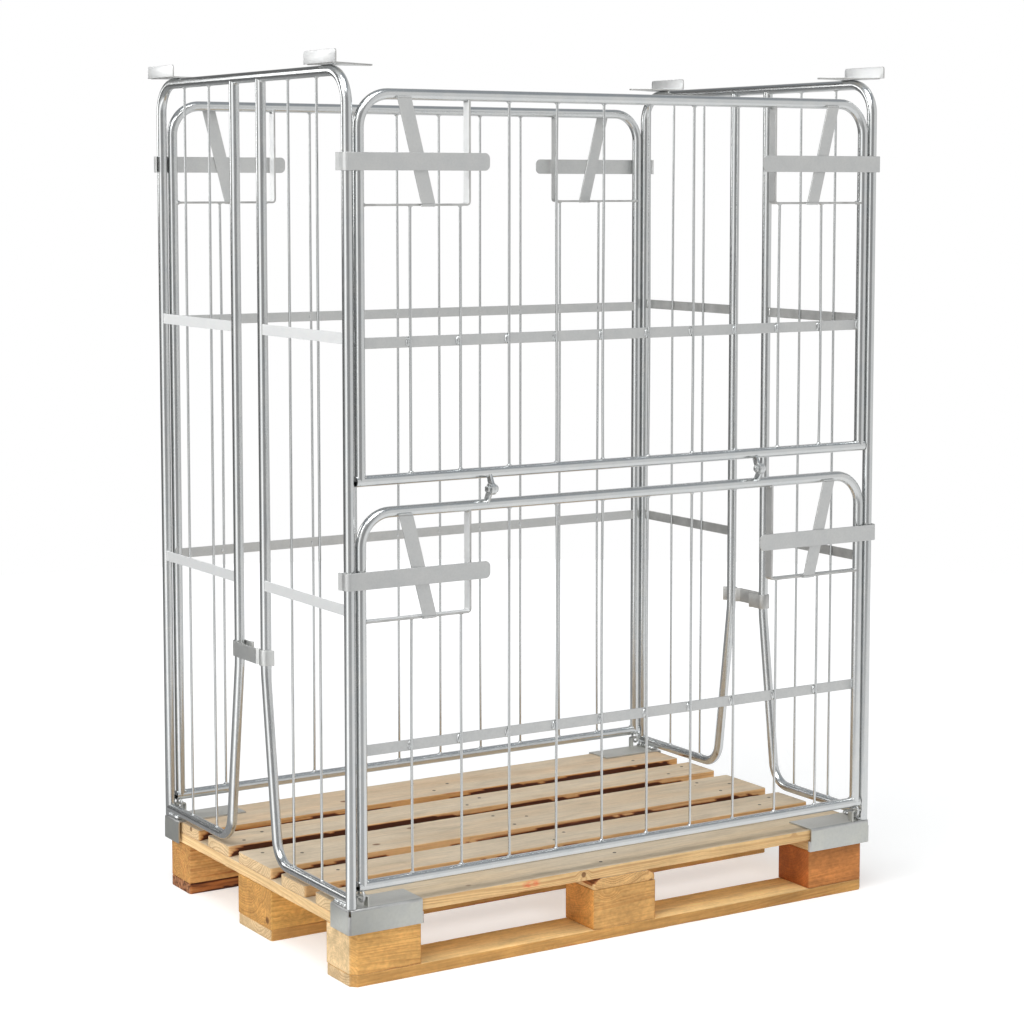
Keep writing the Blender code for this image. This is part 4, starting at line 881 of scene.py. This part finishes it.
# Latches. A flat bar with a rounded handle end and a hook bent round the post, spot welded to a slanting
# strap of spring steel. The strap twists when the handle is pressed in, and the hook swings off the post.
LATCH_DROP = 0.119
LATCH_H = 0.032
LATCH_Y = 0.4111
HANDLE_X = 0.313
HANDLE_ROUND = 0.010
HANDLE_STEPS = (0.03, 0.10, 0.20, 0.33, 0.48, 0.65, 0.82, 1.0)       # where the round is cut, as its shares
HOOK_X = 0.6115
HOOK_BEND = 0.0095
HOOK_REACH = 0.016
HOOK_FLARE = (0.004, 0.008)   # outward and back
STRAP_LOW, STRAP_HIGH = 0.19385, 0.00740
STRAP_T = 0.003
for level, (_, _, end, _, top, _) in zip(("upper", "lower", "rear"), PANELS):
    for way, word in ((-1, "left"), (1, "right")):
        node = level + "_" + word
        bm = bmesh.new()
        z = top - LATCH_DROP
        y = end * LATCH_Y
        back = y - end * HOOK_REACH
        flat_bar(bm, [(way * HANDLE_X, y, z), (way * HOOK_X, y, z), (way * HOOK_X, back, z),
                      (way * (HOOK_X + HOOK_FLARE[0]), back - end * HOOK_FLARE[1], z)], (0, 0, 1), LATCH_H,
                 FLAT_T, (HOOK_BEND, FLAT_T))
        for step in HANDLE_STEPS:
            bmesh.ops.bisect_plane(bm, geom=bm.verts[:] + bm.edges[:] + bm.faces[:], plane_no=(1, 0, 0),
                                   plane_co=(way * (HANDLE_X + HANDLE_ROUND * step), y, z))
        for vert in bm.verts:
            short = min(HANDLE_ROUND, HANDLE_ROUND - (abs(vert.co.x) - HANDLE_X))
            if short > 0:
                drop = HANDLE_ROUND - math.sqrt(HANDLE_ROUND ** 2 - short ** 2)
                vert.co.z = z + (vert.co.z - z) * (1 - drop * 2 / LATCH_H)
        bar = show("latch_bar_" + node + "_bent", bm, FINISHES, "latch_" + node)
        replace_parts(bar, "latch_bar_" + node)
        bm = bmesh.new()
        slope = (STRAP_TOP_X - STRAP_FOOT_X) / LBAR_DROP
        low_end = Vector((way * (STRAP_TOP_X - slope * STRAP_LOW), end * STRAP_Y, top - STRAP_LOW))
        high_end = Vector((way * (STRAP_TOP_X - slope * STRAP_HIGH), end * STRAP_Y, top - STRAP_HIGH))
        face = flat_end(bm, low_end, (0, 0, 1), (1, 0, 0), STRAP_W * math.hypot(1, slope), STRAP_T, SHEET)
        pull(bm, face, high_end - low_end)
        strap = show("latch_strap_" + node + "_flat", bm, FINISHES, "latch_" + node)
        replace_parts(strap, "latch_strap_" + node)

# Panel hooks. Bright rod bent to an open ring round the shoe's bracket and welded under the panel's rail.
STRIP_Z = 0.1685
HOOK_AT_X = 0.57775
RING_R = 0.0105
RING_ROD_R = 0.0025
RING_OPEN = math.radians(20)
RING_BEAD = (0.0035, 0.0062, 0.0013)
RING_BEAD_UP = 0.0099
for end, body, row in ((-1, "front_lower", "front"), (1, "rear", "rear")):
    for way, word in ((-1, "left"), (1, "right")):
        bm = bmesh.new()
        centre = Vector((way * HOOK_AT_X, end * POST_Y, STRIP_Z))
        start = centre + Vector((0, RING_R * math.sin(RING_OPEN), RING_R * math.cos(RING_OPEN)))
        face = round_end(bm, start, (0, math.cos(RING_OPEN), -math.sin(RING_OPEN)), RING_ROD_R, WIRE_SIDES,
                         SHEET)
        grow(bm, face, bmesh.ops.spin, cent=centre, axis=(-1, 0, 0), angle=2 * (math.pi - RING_OPEN),
             steps=40)
        weld_bead(bm, centre + Vector((0, 0, RING_BEAD_UP)), RING_BEAD, way + end)
        name = "panel_hook_" + row + "_" + word
        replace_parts(show(name + "_rod", bm, FINISHES, body), name)
